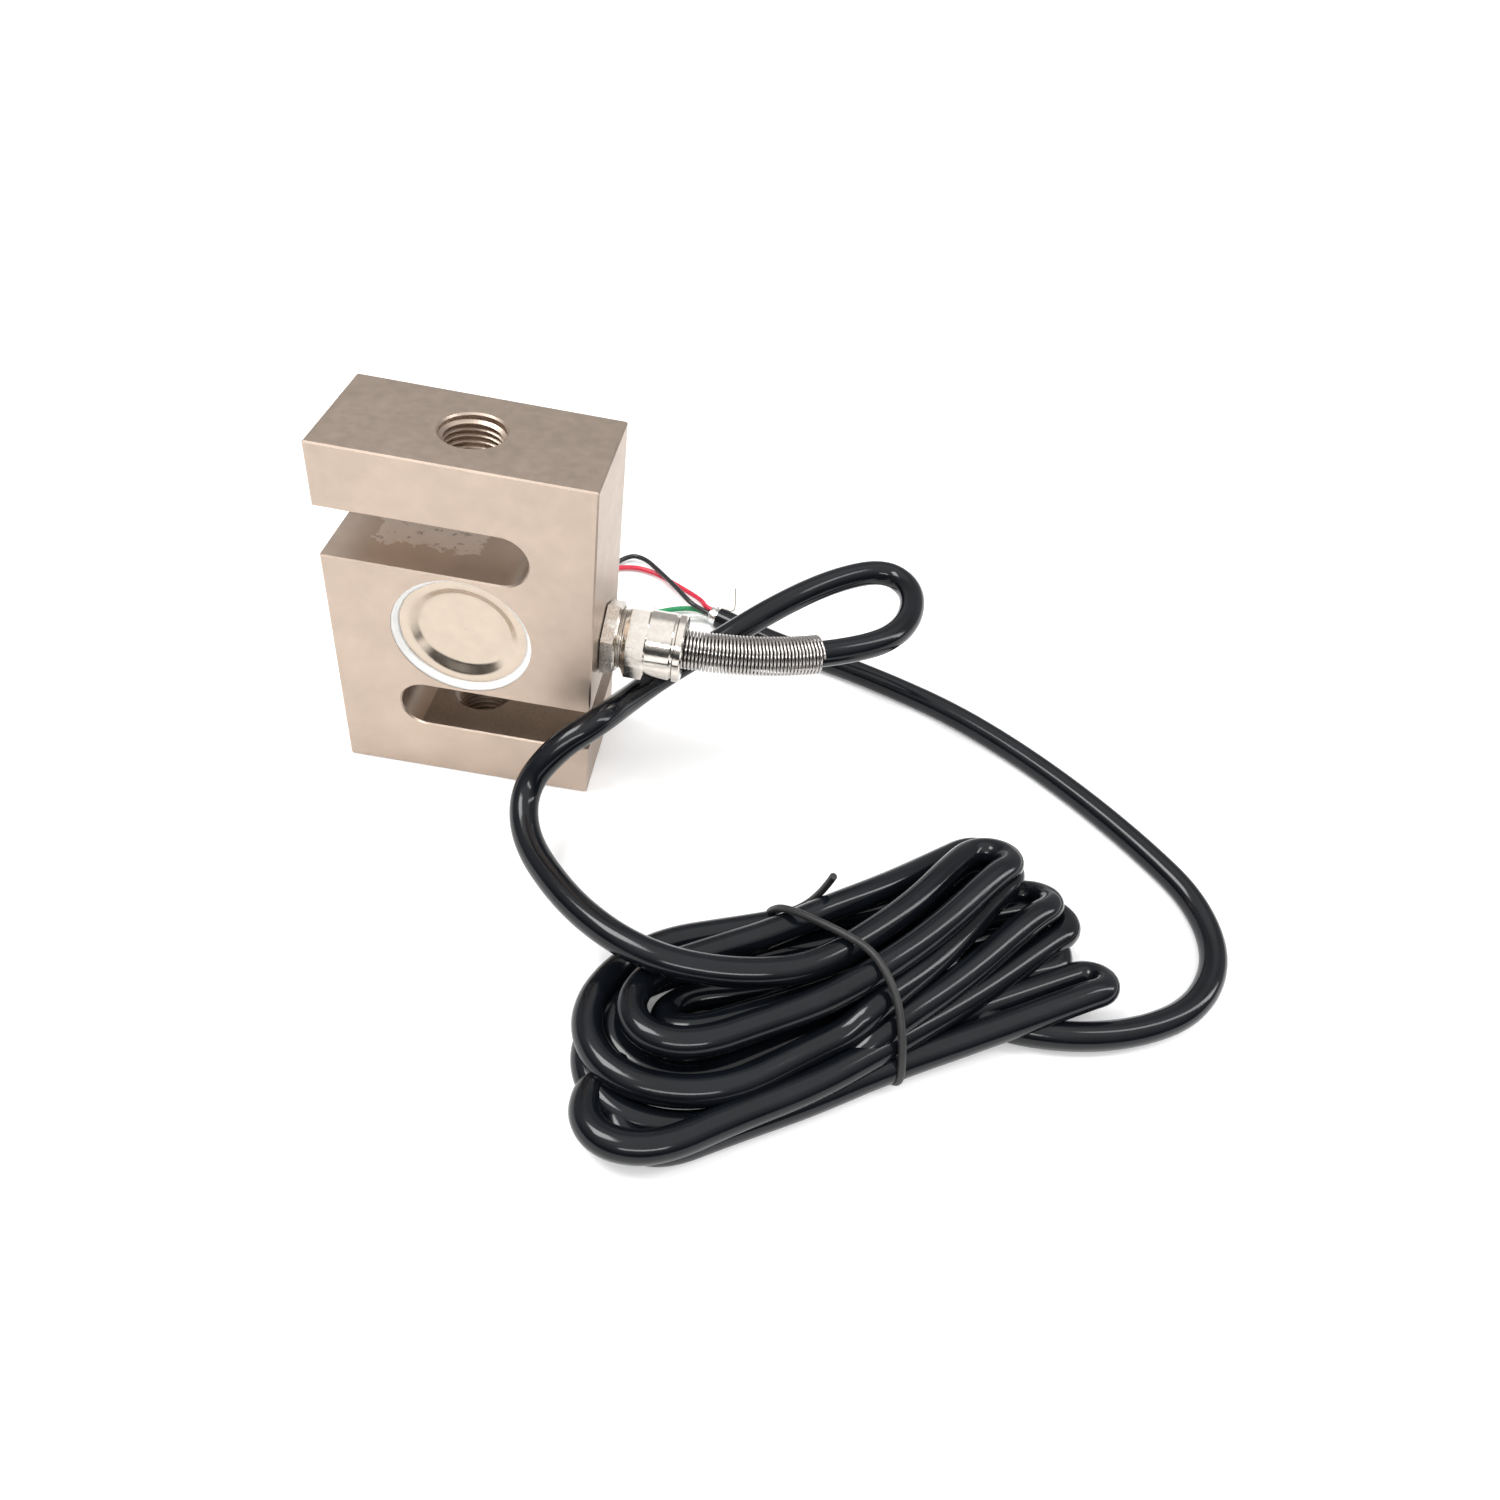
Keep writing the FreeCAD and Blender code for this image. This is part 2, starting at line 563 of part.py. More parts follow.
# Wires beyond the cut end, each after its straight start on the end of the foil, with the
# side of the cable that it leaves from: away from the block's front (1) and up (1).
WIRES = {
    "wire_red": (1, 1, route((40.4, 56.6, 2.8), (33.5, 62.4, 1.5), (25.5, 67.4, 1.2), (18.0, 68.0, 1.0),
                             (10.0, 63.5, 0.8))),
    "wire_black": (-1, 1, route((38.6, 54.0, 5.0), (32.6, 61.0, 5.4), (25.0, 70.2, 3.6), (17.0, 72.4, 2.0),
                                (9.0, 67.4, 0.8))),
    "wire_green": (1, -1, route((36.8, 55.0, 1.6), (29.6, 51.6, 1.4), (22.0, 45.4, 0.8))),
    "wire_white": (-1, -1, route((36.4, 50.2, 1.5), (29.0, 46.2, 1.2), (22.0, 39.6, 0.8))),
}
DRAIN_ROUTE = route((40.2, 55.4, 6.0), (43.6, 58.8, 5.4), (48.2, 58.6, 5.6), (48.4, 60.4, 12.6))


# Tie from its free end, over the hank, down its front and under it, back to the twist: distance
# along the hank in millimetres, then shares of the half width at the tie and of the height.
TIE_ROUTE = [(1.6, 0.89, 1.14), (0.4, 1.02, 0.82), (-4.5, 1.065, 0.575), (-8.6, 0.985, 0.83),
             (-9.2, 0.66, 1.045), (-3.7, 0.225, 1.04), (0.4, -0.12, 1.045), (1.4, -0.46, 1.04),
             (1.7, -0.78, 1.02), (1.6, -0.985, 0.84), (1.6, -1.045, 0.54), (1.3, -1.03, 0.2),
             (0.5, -0.94, 0.048), (-0.3, -0.5, 0.048), (-1.2, 0.05, 0.048), (-2.6, 0.55, 0.048),
             (-4.2, 0.95, 0.048), (-5.2, 1.04, 0.24), (-5.6, 1.06, 0.42)]


def hank():
    """Outer shape of the tied hank: a round lobe at each end, waisted between them; and its tie."""
    reach, lobe, waist = size("sizes.hank_reach"), size("sizes.hank_lobe"), size("sizes.hank_waist")
    tall = size("sizes.hank_height")
    lobe_x = reach - lobe
    waist_bow = (lobe_x ** 2 + waist ** 2 - lobe ** 2) / (2 * (lobe - waist))
    share = lobe / (lobe + waist_bow)
    touch = V(lobe_x * (1 - share), share * (waist + waist_bow), 0)
    rim = []
    for turn in (0, 180):
        quarter = [V(touch.x, -touch.y, 0), V(reach, 0, 0), touch, V(0, waist, 0), V(-touch.x, touch.y, 0)]
        start, lobe_tip, finish, middle, opposite = [
            FreeCAD.Rotation(V(0, 0, 1), turn).multVec(point) for point in quarter]
        rim += [Part.Arc(start, lobe_tip, finish).toShape(), Part.Arc(finish, middle, opposite).toShape()]
    bundle = Part.Face(Part.Wire(rim)).extrude(V(0, 0, tall))
    rims = [edge for edge in bundle.Edges if edge.BoundBox.ZLength < 1e-6]
    bundle = bundle.makeFillet(size("sizes.hank_round"), rims)

    path = [V(along, across * waist, height * tall) for along, across, height in TIE_ROUTE]
    thick = size("sizes.tie_thickness / 2")
    tie = tube(path, thick)[0]
    bundle = bundle.cut(tube(path, thick + size("sizes.tie_gap"))[0])
    return bundle, tie


def free_cable():
    """Both free runs, the hank that they enter, its tie, and what shows at the cut end."""
    place = FreeCAD.Placement(V(size("sizes.hank_x"), size("sizes.hank_y"), 0),
                              FreeCAD.Rotation(V(0, 0, 1), size("sizes.hank_turn")))
    bundle, tie = hank()
    solid_part("cable_hank", bundle, place)
    solid_part("hank_tie", tie, place)
    placed = bundle.copy()
    placed.Placement = place

    radius = size("sizes.cable_radius")
    tip, forward, _ = spring_frame(size(FACE + " + " + NUT_END + " + sizes.spring_free"))
    near_route = [tip, tip + forward * size("sizes.cable_straight")] + NEAR_ROUTE
    for name, points in (("cable_near_run", near_route), ("cable_far_run", FAR_ROUTE)):
        shape, length, radii = tube(points, radius)
        trimmed = shape.cut(placed)
        solid_part(name, max(trimmed.Solids, key=lambda solid: solid.Volume))
        print(name, "length %.0f" % length, "radii", ["%.0f" % value for value in radii])

    end = FAR_ROUTE[-1]
    along = (end - FAR_ROUTE[-2]).normalize()
    side = V(-along.y, along.x, 0)
    foil = Part.makeCylinder(size("sizes.shield_radius"), size("sizes.shield_length"), end, along)
    solid_part("cable_shield", foil)
    face = end + along * size("sizes.shield_length")
    spread, straight = size("sizes.wire_spread"), size("sizes.wire_straight")
    starts = {}
    for name, (across, up, points) in WIRES.items():
        start = face - side * across * spread + V(0, 0, up * spread)
        starts[name] = (start, points, size("sizes.wire_radius"))
    drain_up = size("sizes.shield_radius - sizes.drain_radius")
    starts["drain_wire"] = (face + V(0, 0, drain_up), DRAIN_ROUTE, size("sizes.drain_radius"))
    for name, (start, points, thick) in starts.items():
        shape, length, radii = tube([start, start + along * straight] + points, thick)
        solid_part(name, shape)
        print(name, "length %.0f" % length, "radii", ["%.0f" % value for value in radii])


# Name, side of the bundle across and up, distance of the turn off the board's edge, and of the
# turn onto its pad.
LEADS = [("inner_lead_red", 1, -1, 0.8, 0.0), ("inner_lead_black", 1, 1, 1.4, 0.0),
         ("inner_lead_green", -1, -1, 0.8, -0.9), ("inner_lead_white", -1, 1, 1.4, -0.3)]


def inner_leads():
    """Four leads from the jacket's end through the passage to the terminal board's pads."""
    spread, thick = size("sizes.lead_spread"), size("sizes.lead_radius")
    gland_z, passage_y = size(GLAND_Z), -size("sizes.passage_offset")
    start_x = size(FACE + " - sizes.cable_inset")
    mouth_x = size(FACE + " - sizes.gland_hole_depth") + 2 * thick
    board_top = -size("sizes.web_thickness / 2 + sizes.board_sheet")
    board_right = size("sizes.board_x + sizes.board_width / 2")
    middle = size("sizes.block_height / 2")
    for index, (name, near, above, off_edge, off_pad) in enumerate(LEADS):
        y, z = near * spread, gland_z + above * spread
        pad_z = middle + (index - 1.5) * size("sizes.pad_pitch")
        pad_y = min(board_top - thick - 0.1, passage_y + abs(y))
        points = route(
            (start_x, y, z), (start_x - 2 * thick, y, z), (mouth_x, passage_y + y, z),
            (board_right + off_edge, passage_y + y, z), (board_right + off_pad, passage_y + y, pad_z),
            (size("sizes.board_x"), pad_y, pad_z))
        solid_part(name, tube(points, thick, 1.2)[0])


# ---------------------------------------------------------------- build, check and write
elastic_body()
for where, front in (("front", True), ("rear", False)):
    sealing_cup(where + "_sealing_cup", front)
    sealant_ring(where + "_sealant_ring", front)
    strain_gauge(where + "_strain_gauge", front)
terminal_board()
gland_gasket()
gland_body()
gland_cap()
gland_inserts()
strain_relief_spring()
cable_entry()
inner_leads()
free_cable()
doc.recompute()

for item in doc.Objects:
    assert not {"Invalid", "Error"} & set(item.State), item.Name + " failed"
for part in PARTS:
    assert not part.Shape.isNull() and part.Shape.isValid(), part.Label + " is not valid"

os.makedirs("parts", exist_ok=True)
for part in PARTS:
    part.Shape.exportStep(os.path.join("parts", part.Label + ".step"))
print(len(PARTS), "parts written")
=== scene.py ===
import bpy
import json
import math
from mathutils import Matrix, Vector, noise

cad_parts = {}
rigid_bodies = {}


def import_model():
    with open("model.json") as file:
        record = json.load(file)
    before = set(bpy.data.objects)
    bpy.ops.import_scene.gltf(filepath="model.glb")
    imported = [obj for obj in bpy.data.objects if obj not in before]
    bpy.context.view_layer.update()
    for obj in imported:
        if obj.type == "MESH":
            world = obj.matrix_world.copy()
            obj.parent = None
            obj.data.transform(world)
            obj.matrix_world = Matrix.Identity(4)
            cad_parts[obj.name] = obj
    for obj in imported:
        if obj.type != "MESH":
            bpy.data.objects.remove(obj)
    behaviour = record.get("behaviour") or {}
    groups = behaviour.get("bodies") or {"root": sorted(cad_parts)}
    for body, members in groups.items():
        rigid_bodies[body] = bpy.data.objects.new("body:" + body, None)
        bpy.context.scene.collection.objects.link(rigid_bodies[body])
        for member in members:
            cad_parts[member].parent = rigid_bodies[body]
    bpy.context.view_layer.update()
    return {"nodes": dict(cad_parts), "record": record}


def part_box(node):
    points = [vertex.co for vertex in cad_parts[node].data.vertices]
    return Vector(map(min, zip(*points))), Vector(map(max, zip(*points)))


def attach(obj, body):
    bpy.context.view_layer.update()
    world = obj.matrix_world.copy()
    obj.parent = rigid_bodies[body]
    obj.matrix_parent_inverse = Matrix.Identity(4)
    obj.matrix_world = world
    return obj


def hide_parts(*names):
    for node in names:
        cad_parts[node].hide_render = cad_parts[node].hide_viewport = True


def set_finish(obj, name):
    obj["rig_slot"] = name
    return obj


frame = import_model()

MM = 0.001


def mm(*xyz):
    """A point given in millimetres of the row frame."""
    return Vector(xyz) * MM


# ------------------------------------------------------------------ camera
EYE = mm(55.484, -171.268, 182.258)


def add_camera():
    """Camera above the block's front right, with its axes given in the row frame."""
    right = Vector((0.98484754, 0.08986249, 0.14832415))
    down = Vector((0.17017661, -0.66546568, -0.72677049))
    ahead = Vector((0.03339523, 0.74099943, -0.67067473))
    data = bpy.data.cameras.new("camera")
    data.sensor_width = 36.0
    data.lens = 26.533
    data.shift_x = -0.02178
    data.shift_y = -0.03904
    camera = bpy.data.objects.new("camera", data)
    bpy.context.collection.objects.link(camera)
    axes = Matrix((right, -down, -ahead)).transposed()
    camera.matrix_world = Matrix.Translation(EYE) @ axes.to_4x4()
    bpy.context.scene.camera = camera


add_camera()


# ------------------------------------------------------------------ making pieces
SPLINE_STEPS = 12
UP = Vector((0, 0, 1))


def add_piece(name, data, slot, *nodes):
    """Object for a curve or mesh, riding on the frame and standing for any CAD nodes named."""
    piece = bpy.data.objects.new(name, data)
    bpy.context.collection.objects.link(piece)
    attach(piece, "root")
    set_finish(piece, slot)
    if nodes:
        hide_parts(*nodes)
    return piece


def spline_curve(name, points, radius, around):
    """Round cord on one open NURBS spline."""
    curve = bpy.data.curves.new(name, "CURVE")
    curve.dimensions = "3D"
    curve.bevel_depth = 1.0
    curve.bevel_resolution = around
    curve.use_fill_caps = True
    spline = curve.splines.new("NURBS")
    spline.points.add(len(points) - 1)
    for target, point in zip(spline.points, points):
        target.co = (*point, 1.0)
        target.radius = radius
    spline.order_u = 3
    spline.use_endpoint_u = True
    spline.resolution_u = SPLINE_STEPS
    return curve


def mesh_of(name, vertices, faces, smooth=True):
    """Checked mesh, shaded smooth or flat."""
    data = bpy.data.meshes.new(name)
    data.from_pydata([tuple(v) for v in vertices], [], faces)
    data.validate()
    for polygon in data.polygons:
        polygon.use_smooth = smooth
    return data


def swept(name, centres, outwards, profile, smooth=True):
    """Closed profile of (outward, along) offsets carried along a path of centres."""
    vertices, faces = [], []
    count = len(profile)
    for i, (centre, outward) in enumerate(zip(centres, outwards)):
        before, after = centres[max(i - 1, 0)], centres[min(i + 1, len(centres) - 1)]
        ahead = (after - before).normalized()
        up = ahead.cross(outward).normalized()
        vertices += [centre + outward * a + up * b for a, b in profile]
    for i in range(len(centres) - 1):
        for j in range(count):
            k = (j + 1) % count
            faces.append((i * count + j, i * count + k, (i + 1) * count + k, (i + 1) * count + j))
    faces.append(tuple(range(count))[::-1])
    faces.append(tuple(range((len(centres) - 1) * count, len(centres) * count)))
    return mesh_of(name, vertices, faces, smooth)


def lathe(name, outline, place, steps, change=None):
    """Closed outline of (radius, height) turned round place's Z, where change may move its points."""
    vertices, faces = [], []
    for i in range(steps):
        angle = 2 * math.pi * i / steps
        for radius, height in outline:
            if change:
                radius, height = change(angle, radius, height)
            local = Vector((radius * math.cos(angle), radius * math.sin(angle), height))
            vertices.append(place @ local)
    count = len(outline)
    for i in range(steps):
        n = (i + 1) % steps
        for j in range(count):
            k = (j + 1) % count
            faces.append((i * count + j, n * count + j, n * count + k, i * count + k))
    return mesh_of(name, vertices, faces)


def rounded(points, radius, steps):
    """Closed outline with each corner rounded by a curve of up to that radius."""
    result = []
    for i in range(len(points)):
        here = Vector(points[i])
        before, after = Vector(points[i - 1]), Vector(points[(i + 1) % len(points)])
        back, on = before - here, after - here
        reach = min(radius, back.length * 0.45, on.length * 0.45)
        start, end = here + back.normalized() * reach, here + on.normalized() * reach
        for step in range(steps + 1):
            t = step / steps
            result.append(start * (1 - t) ** 2 + here * 2 * t * (1 - t) + end * t ** 2)
    return [(p.x, p.y) for p in result]


# ------------------------------------------------------------------ cable
CABLE = 5.6 * MM
CABLE_INSIDE_SPRING = 2 * MM
CABLE_STRAIGHT = 11.5 * MM
SPRING_TIP = Vector((69.5, 5.7, 34.2)) * MM
SPRING_AIM = Vector((math.cos(math.radians(23.25)), math.sin(math.radians(23.25)), 0))
NEAR_ROUTE = [
    (88.3, 20.0, 34.6), (89.4, 32.5, 35.0), (82.6, 38.8, 35.0), (71.0, 32.2, 34.4),
    (58.6, 21.0, 32.3), (47.5, 12.0, 26.8), (37.6, 5.6, 21.2), (32.0, -4.8, 22.2),
    (28.2, -16.8, 26.4), (20.8, -22.4, 22.4),
    (15.6, -27.0, 14.2), (18.6, -37.2, 11.4), (28.6, -49.0, 12.6), (38.6, -56.6, 13.8),
    (48.6, -60.6, 14.4), (58.5, -61.0, 14.2), (68.2, -59.4, 14.0), (76.3, -56.2, 13.8),
]
FAR_ROUTE = [
    (98, -50, 2.8), (112, -55.4, 2.8), (127, -55.4, 2.8), (141.5, -51.6, 2.8), (154, -44, 2.8),
    (161, -31, 2.8), (158.6, -16.5, 2.8), (149, -4.5, 2.8), (137, 7.5, 2.8), (123, 19, 2.8),
    (107.5, 29, 2.8), (91.5, 35.8, 2.8), (75.5, 41, 2.8), (60, 44.6, 2.8), (45.5, 50.6, 2.8),
]

# Each turn of the hank: its place across and height at the back of the tie, then its right end, its
# place at the front of the tie and its left end. An end has a reach along the hank, the middle and
# the half width of its loop across it, and the heights of the strands that run out and back.
TURNS = [
    dict(back=(2.2, 13.8), right=(39.6, 13.2, 4.2, 11.5, 15.5),
         front=(-5.0, 14.4), left=(41.8, 1.8, 8.8, 11.0, 8.6)),
    dict(back=(13.4, 9.8), right=(43.0, 15.4, 6.4, 6.0, 8.5),
         front=(-9.4, 12.0), left=(49.3, 1.6, 15.8, 7.5, 5.0)),
    dict(back=(14.8, 4.4), right=(46.8, 5.6, 4.6, 4.0, 10.0),
         front=(-13.0, 8.4), left=(50.5, -3.0, 15.2, 3.4, 2.8)),
    dict(back=(9.8, 2.8), right=(49.6, 1.6, 4.4, 2.8, 5.6),
         front=(-14.8, 6.2), left=(53.0, -11.2, 8.8, 6.0, 3.0)),
    dict(back=(4.6, 2.8), right=(45.0, -3.6, 4.2, 2.8, 3.0),
         front=(-5.6, 2.8), left=(44.5, 2.2, 11.6, 3.4, 2.8)),
    dict(back=(-12.2, 3.4), right=(48.6, -13.8, 3.1, 3.6, 7.2),
         front=(-17.0, 2.8), left=(48.0, -13.0, 6.6, 2.8, 2.8)),
    dict(back=(4.2, 8.2), right=(38.0, 13.6, 3.1, 7.0, 2.8),
         front=(-2.0, 8.4), left=(35.5, 1.6, 4.4, 7.4, 2.8)),
]
LAST_BACK = (-0.6, 2.8)
HANK_MIDDLE = Vector((84.1, -52.4, 0))
HANK_TURN = Matrix.Rotation(math.radians(26.6), 3, "Z")
# At the right end (1) and the left end (-1): how far the strands have spread halfway to the loop,
# and how much longer than round the loop's end is.
BULGE = {1: 0.4, -1: 0.75}
STRETCH = {1: 1.0, -1: 1.35}
LOOP_CORNERS = 4


def on_hank(along, across, height):
    """Point of the row frame at millimetres along and across the hank, and above the floor."""
    return (HANK_MIDDLE + HANK_TURN @ Vector((along, across, height))) * MM


def arc_reach(centre, radius, offset):
    """Angle from a loop's tip at which a strand from the tie touches its round end."""
    return math.pi - math.atan2(offset, centre) - math.acos(radius / math.hypot(centre, offset))


def lobe(start, end, reach, middle, half, out, home, sign):
    """Points for one end of a turn: out from the tie, round the loop and home."""
    rise = (home - out) / 2
    radius = math.hypot(half, rise)
    centre = reach / STRETCH[sign] - radius

    def place(along, side):
        return (sign * along * STRETCH[sign], middle + sign * side * half / radius,
                (out + home) / 2 - side * rise / radius)

    def halfway(tie, near):
        share = BULGE[sign]
        return near[0] / 2, tie[0] + (near[1] - tie[0]) * share, tie[1] + (near[2] - tie[1]) * share

    first = arc_reach(centre, radius, sign * (start[0] - middle))
    last = arc_reach(centre, radius, sign * (middle - end[0]))
    step = (first + last) / LOOP_CORNERS
    lead = min(0.75 * radius, 0.4 * centre)
    corner = radius / math.cos(step / 2)
    near = [place(centre + radius * math.cos(angle) - lead * math.sin(angle),
                  side * (radius * math.sin(angle) + lead * math.cos(angle)))
            for angle, side in ((first, 1), (last, -1))]
    angles = [first - step * (number + 0.5) for number in range(LOOP_CORNERS)]
    arc = [place(centre + corner * math.cos(angle), corner * math.sin(angle)) for angle in angles]
    points = [halfway(start, near[0]), near[0], *arc, near[1], halfway(end, near[1])]
    return [on_hank(*point) for point in points]


def hank_points():
    """All turns in one line, from the near run to the far run."""
    points = []
    for number, turn in enumerate(TURNS):
        after = TURNS[number + 1]["back"] if number + 1 < len(TURNS) else LAST_BACK
        points.append(on_hank(0, *turn["back"]))
        points += lobe(turn["back"], turn["front"], *turn["right"], 1)
        points.append(on_hank(0, *turn["front"]))
        points += lobe(turn["front"], after, *turn["left"], -1)
    points.append(on_hank(0, *after))
    return points


def add_cable():
    """Whole cable in one curve: out of the spring, through the hank and on to its cut end."""
    run = [SPRING_TIP - SPRING_AIM * CABLE_INSIDE_SPRING, SPRING_TIP + SPRING_AIM * CABLE_STRAIGHT]
    points = run + [mm(*p) for p in NEAR_ROUTE] + hank_points() + [mm(*p) for p in FAR_ROUTE]
    curve = spline_curve("cable", points, CABLE / 2, 7)
    return add_piece("cable", curve, "cable_jacket", "cable_near_run", "cable_hank", "cable_far_run")


cable = add_cable()

# ------------------------------------------------------------------ tie round the hank
# Distance along the hank in millimetres, then shares of its half width at the tie and of its height.
TIE_ROUTE = [(1.2, 0.89, 0.99), (0.6, 0.93, 0.72), (-1.5, 1.03, 0.30), (-6.0, 1.06, 0.18),
             (-9.0, 1.06, 0.20), (-9.8, 1.00, 0.42), (-9.2, 0.84, 0.70), (-7.2, 0.60, 0.87),
             (-3.2, 0.235, 1.01), (0.6, -0.10, 1.07), (1.6, -0.38, 1.045), (2.4, -0.63, 0.89),
             (2.2, -0.84, 0.69), (1.8, -1.01, 0.47), (1.4, -1.15, 0.17), (0.5, -1.03, 0.047),
             (-0.3, -0.5, 0.047), (-1.2, 0.05, 0.047), (-2.6, 0.55, 0.047), (-4.4, 0.90, 0.047),
             (-6.6, 1.02, 0.055)]
HANK_WAIST = 17.8
HANK_HEIGHT = 17.0
TIE_RADIUS = 0.75 * MM


def add_tie():
    """Round tie with one free end, laid once round the hank."""
    points = [on_hank(along, across * HANK_WAIST, up * HANK_HEIGHT) for along, across, up in TIE_ROUTE]
    curve = spline_curve("hank_twist_tie", points, TIE_RADIUS, 4)
    return add_piece("hank_twist_tie", curve, "tie_plastic", "hank_tie")


tie = add_tie()

# ------------------------------------------------------------------ cut end of the cable
CUT_END = mm(*FAR_ROUTE[-1])
CUT_AIM = (mm(*FAR_ROUTE[-1]) - mm(*FAR_ROUTE[-2])).normalized()
CUT_SIDE = Vector((-CUT_AIM.y, CUT_AIM.x, 0))
FOIL_LENGTH = 2.2 * MM
FOIL_COVERED = 0.4 * MM
FOIL_RADIUS = 2.15 * MM
FOIL_SHEET = 0.16 * MM
FOIL_CREASE = 0.22 * MM
FOIL_TEAR = 0.7 * MM
FOIL_RINGS, FOIL_STEPS = 9, 40
# How fine the foil's creases and its torn edge are; a larger number is finer.
CREASES, TEARS = 3.1, 2.3
WIRE = 1.3 * MM
WIRE_STRAIGHT = 2.4 * MM
WIRE_SPREAD = 0.625
DRAIN = 0.4 * MM
DRAIN_OUT = 0.3 * MM
DRAIN_ABOVE = 2.55 * MM
# Each core: its side of the cable's axis, its place above or below it, and its route over the floor.
WIRES = {
    "red": (1, 1, [(40.4, 56.6, 2.8), (33.5, 62.4, 1.5), (25.5, 67.4, 1.2), (18.0, 68.0, 1.0),
                   (10.0, 63.5, 0.8)]),
    "black": (-1, 1, [(37.6, 52.8, 4.4), (33.0, 58.5, 4.2), (27.6, 65.4, 3.0), (22.6, 71.2, 2.2),
                      (17.6, 72.4, 1.4), (14.2, 66.5, 0.8)]),
    "green": (1, -1, [(37.6, 54.2, 1.6), (30.6, 51.6, 1.2), (22.0, 45.4, 0.8)]),
    "white": (-1, -1, [(36.4, 50.2, 1.5), (29.0, 46.2, 1.2), (22.0, 39.6, 0.8)]),
}
DRAIN_ROUTE = [
    (44.6, 51.0, 6.1), (46.5, 50.4, 6.2), (49.1, 50.0, 6.1), (49.4, 50.2, 8.0), (48.6, 51.6, 12.4),
]


def foil_point(place, angle, share, grow):
    """Point of the foil at a share of its length, creased all along and torn towards its end."""
    depth = (FOIL_LENGTH + FOIL_COVERED) * share - FOIL_COVERED
    spot = Vector((math.cos(angle), math.sin(angle), depth / (2 * MM)))
    crease = noise.noise(spot * CREASES) * FOIL_CREASE
    torn = noise.noise(spot * TEARS + Vector((7, 3, 1))) * FOIL_TEAR * share ** 3
    radius = FOIL_RADIUS + crease + grow
    return place @ Vector((radius * spot.x, radius * spot.y, depth + torn))


def add_foil():
    """Crumpled foil sleeve left on the cores, as an outer and an inner wall joined at both ends."""
    axes = Matrix((CUT_SIDE, UP, CUT_AIM)).transposed().to_4x4()
    place = Matrix.Translation(CUT_END) @ axes
    rings, steps = FOIL_RINGS, FOIL_STEPS
    vertices, faces = [], []
    for grow in (0.0, -FOIL_SHEET):
        for ring in range(rings):
            for step in range(steps):
                angle = 2 * math.pi * step / steps
                vertices.append(foil_point(place, angle, ring / (rings - 1), grow))
    inner = rings * steps
    for base in (0, inner):
        for ring in range(rings - 1):
            low, high = base + ring * steps, base + (ring + 1) * steps
            for step in range(steps):
                n = (step + 1) % steps
                quad = (low + step, low + n, high + n, high + step)
                faces.append(quad if base == 0 else quad[::-1])
    last = (rings - 1) * steps
    for step in range(steps):
        n = (step + 1) % steps
        faces.append((last + step, last + n, inner + last + n, inner + last + step))
        faces.append((n, step, inner + step, inner + n))
    return add_piece("core_foil", mesh_of("core_foil", vertices, faces), "foil_braid", "cable_shield")


foil = add_foil()


def add_strand(name, points, width, around, slot, node):
    """One core or the drain strand, with its start and diameter."""
    piece = add_piece(name, spline_curve(name, points, width / 2, around), slot, node)
    return piece, points[0], width


def add_wires():
    """The four cores and the drain strand, which leave the cable's cut end."""
    made = {}
    face = CUT_END + CUT_AIM * FOIL_LENGTH
    for colour, (across, up, route) in WIRES.items():
        start = face + (UP * up - CUT_SIDE * across) * WIRE * WIRE_SPREAD
        points = [start, start + CUT_AIM * WIRE_STRAIGHT] + [mm(*p) for p in route]
        name = "core_" + colour
        made[name] = add_strand(name, points, WIRE, 4, "wire_%s_skin" % colour, "wire_" + colour)
    start = CUT_END + CUT_AIM * DRAIN_OUT + UP * DRAIN_ABOVE
    points = [start] + [mm(*p) for p in DRAIN_ROUTE]
    made["drain_strand"] = add_strand("drain_strand", points, DRAIN, 3, "drain_tin", "drain_wire")
    return made


wires = add_wires()


# ------------------------------------------------------------------ gland spring and threads
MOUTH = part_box("gland_cap")[1].x
BLOCK_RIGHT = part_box("elastic_body")[1].x
GLAND_HEIGHT = 34.2 * MM
SPRING_BEND = 70 * MM
SPRING_WIRE = 0.55 * MM
SPRING_RADIUS = 4.15 * MM
SPRING_PITCH = 0.725 * MM
SPRING_START = -7.0 * MM
SPRING_FREE = 28.4 * MM
SPRING_TURN_STEPS = 26


def spring_axis(distance):
    """Point and sideways direction of the spring's axis at a distance past the cap's mouth."""
    angle = max(0.0, distance) / SPRING_BEND
    point = Vector((MOUTH + min(distance, 0) + SPRING_BEND * math.sin(angle),
                    SPRING_BEND * (1 - math.cos(angle)), GLAND_HEIGHT))
    return point, Vector((-math.sin(angle), math.cos(angle), 0))


def add_spring():
    """Round wire wound closely, from inside the cap to the spring's free end."""
    radius = SPRING_WIRE / 2
    turns = (SPRING_FREE - radius - SPRING_START) / SPRING_PITCH
    centres, outwards = [], []
    for i in range(int(turns * SPRING_TURN_STEPS) + 1):
        angle = 2 * math.pi * i / SPRING_TURN_STEPS
        point, side = spring_axis(SPRING_START + SPRING_PITCH * i / SPRING_TURN_STEPS)
        outward = side * math.cos(angle) + UP * math.sin(angle)
        centres.append(point + outward * (SPRING_RADIUS - radius))
        outwards.append(outward)
    angles = [number * math.pi / 4 for number in range(8)]
    section = [(radius * math.cos(angle), radius * math.sin(angle)) for angle in angles]
    data = swept("coil_spring", centres, outwards, section)
    add_piece("coil_spring", data, "spring_steel", "strain_relief_spring")


add_spring()

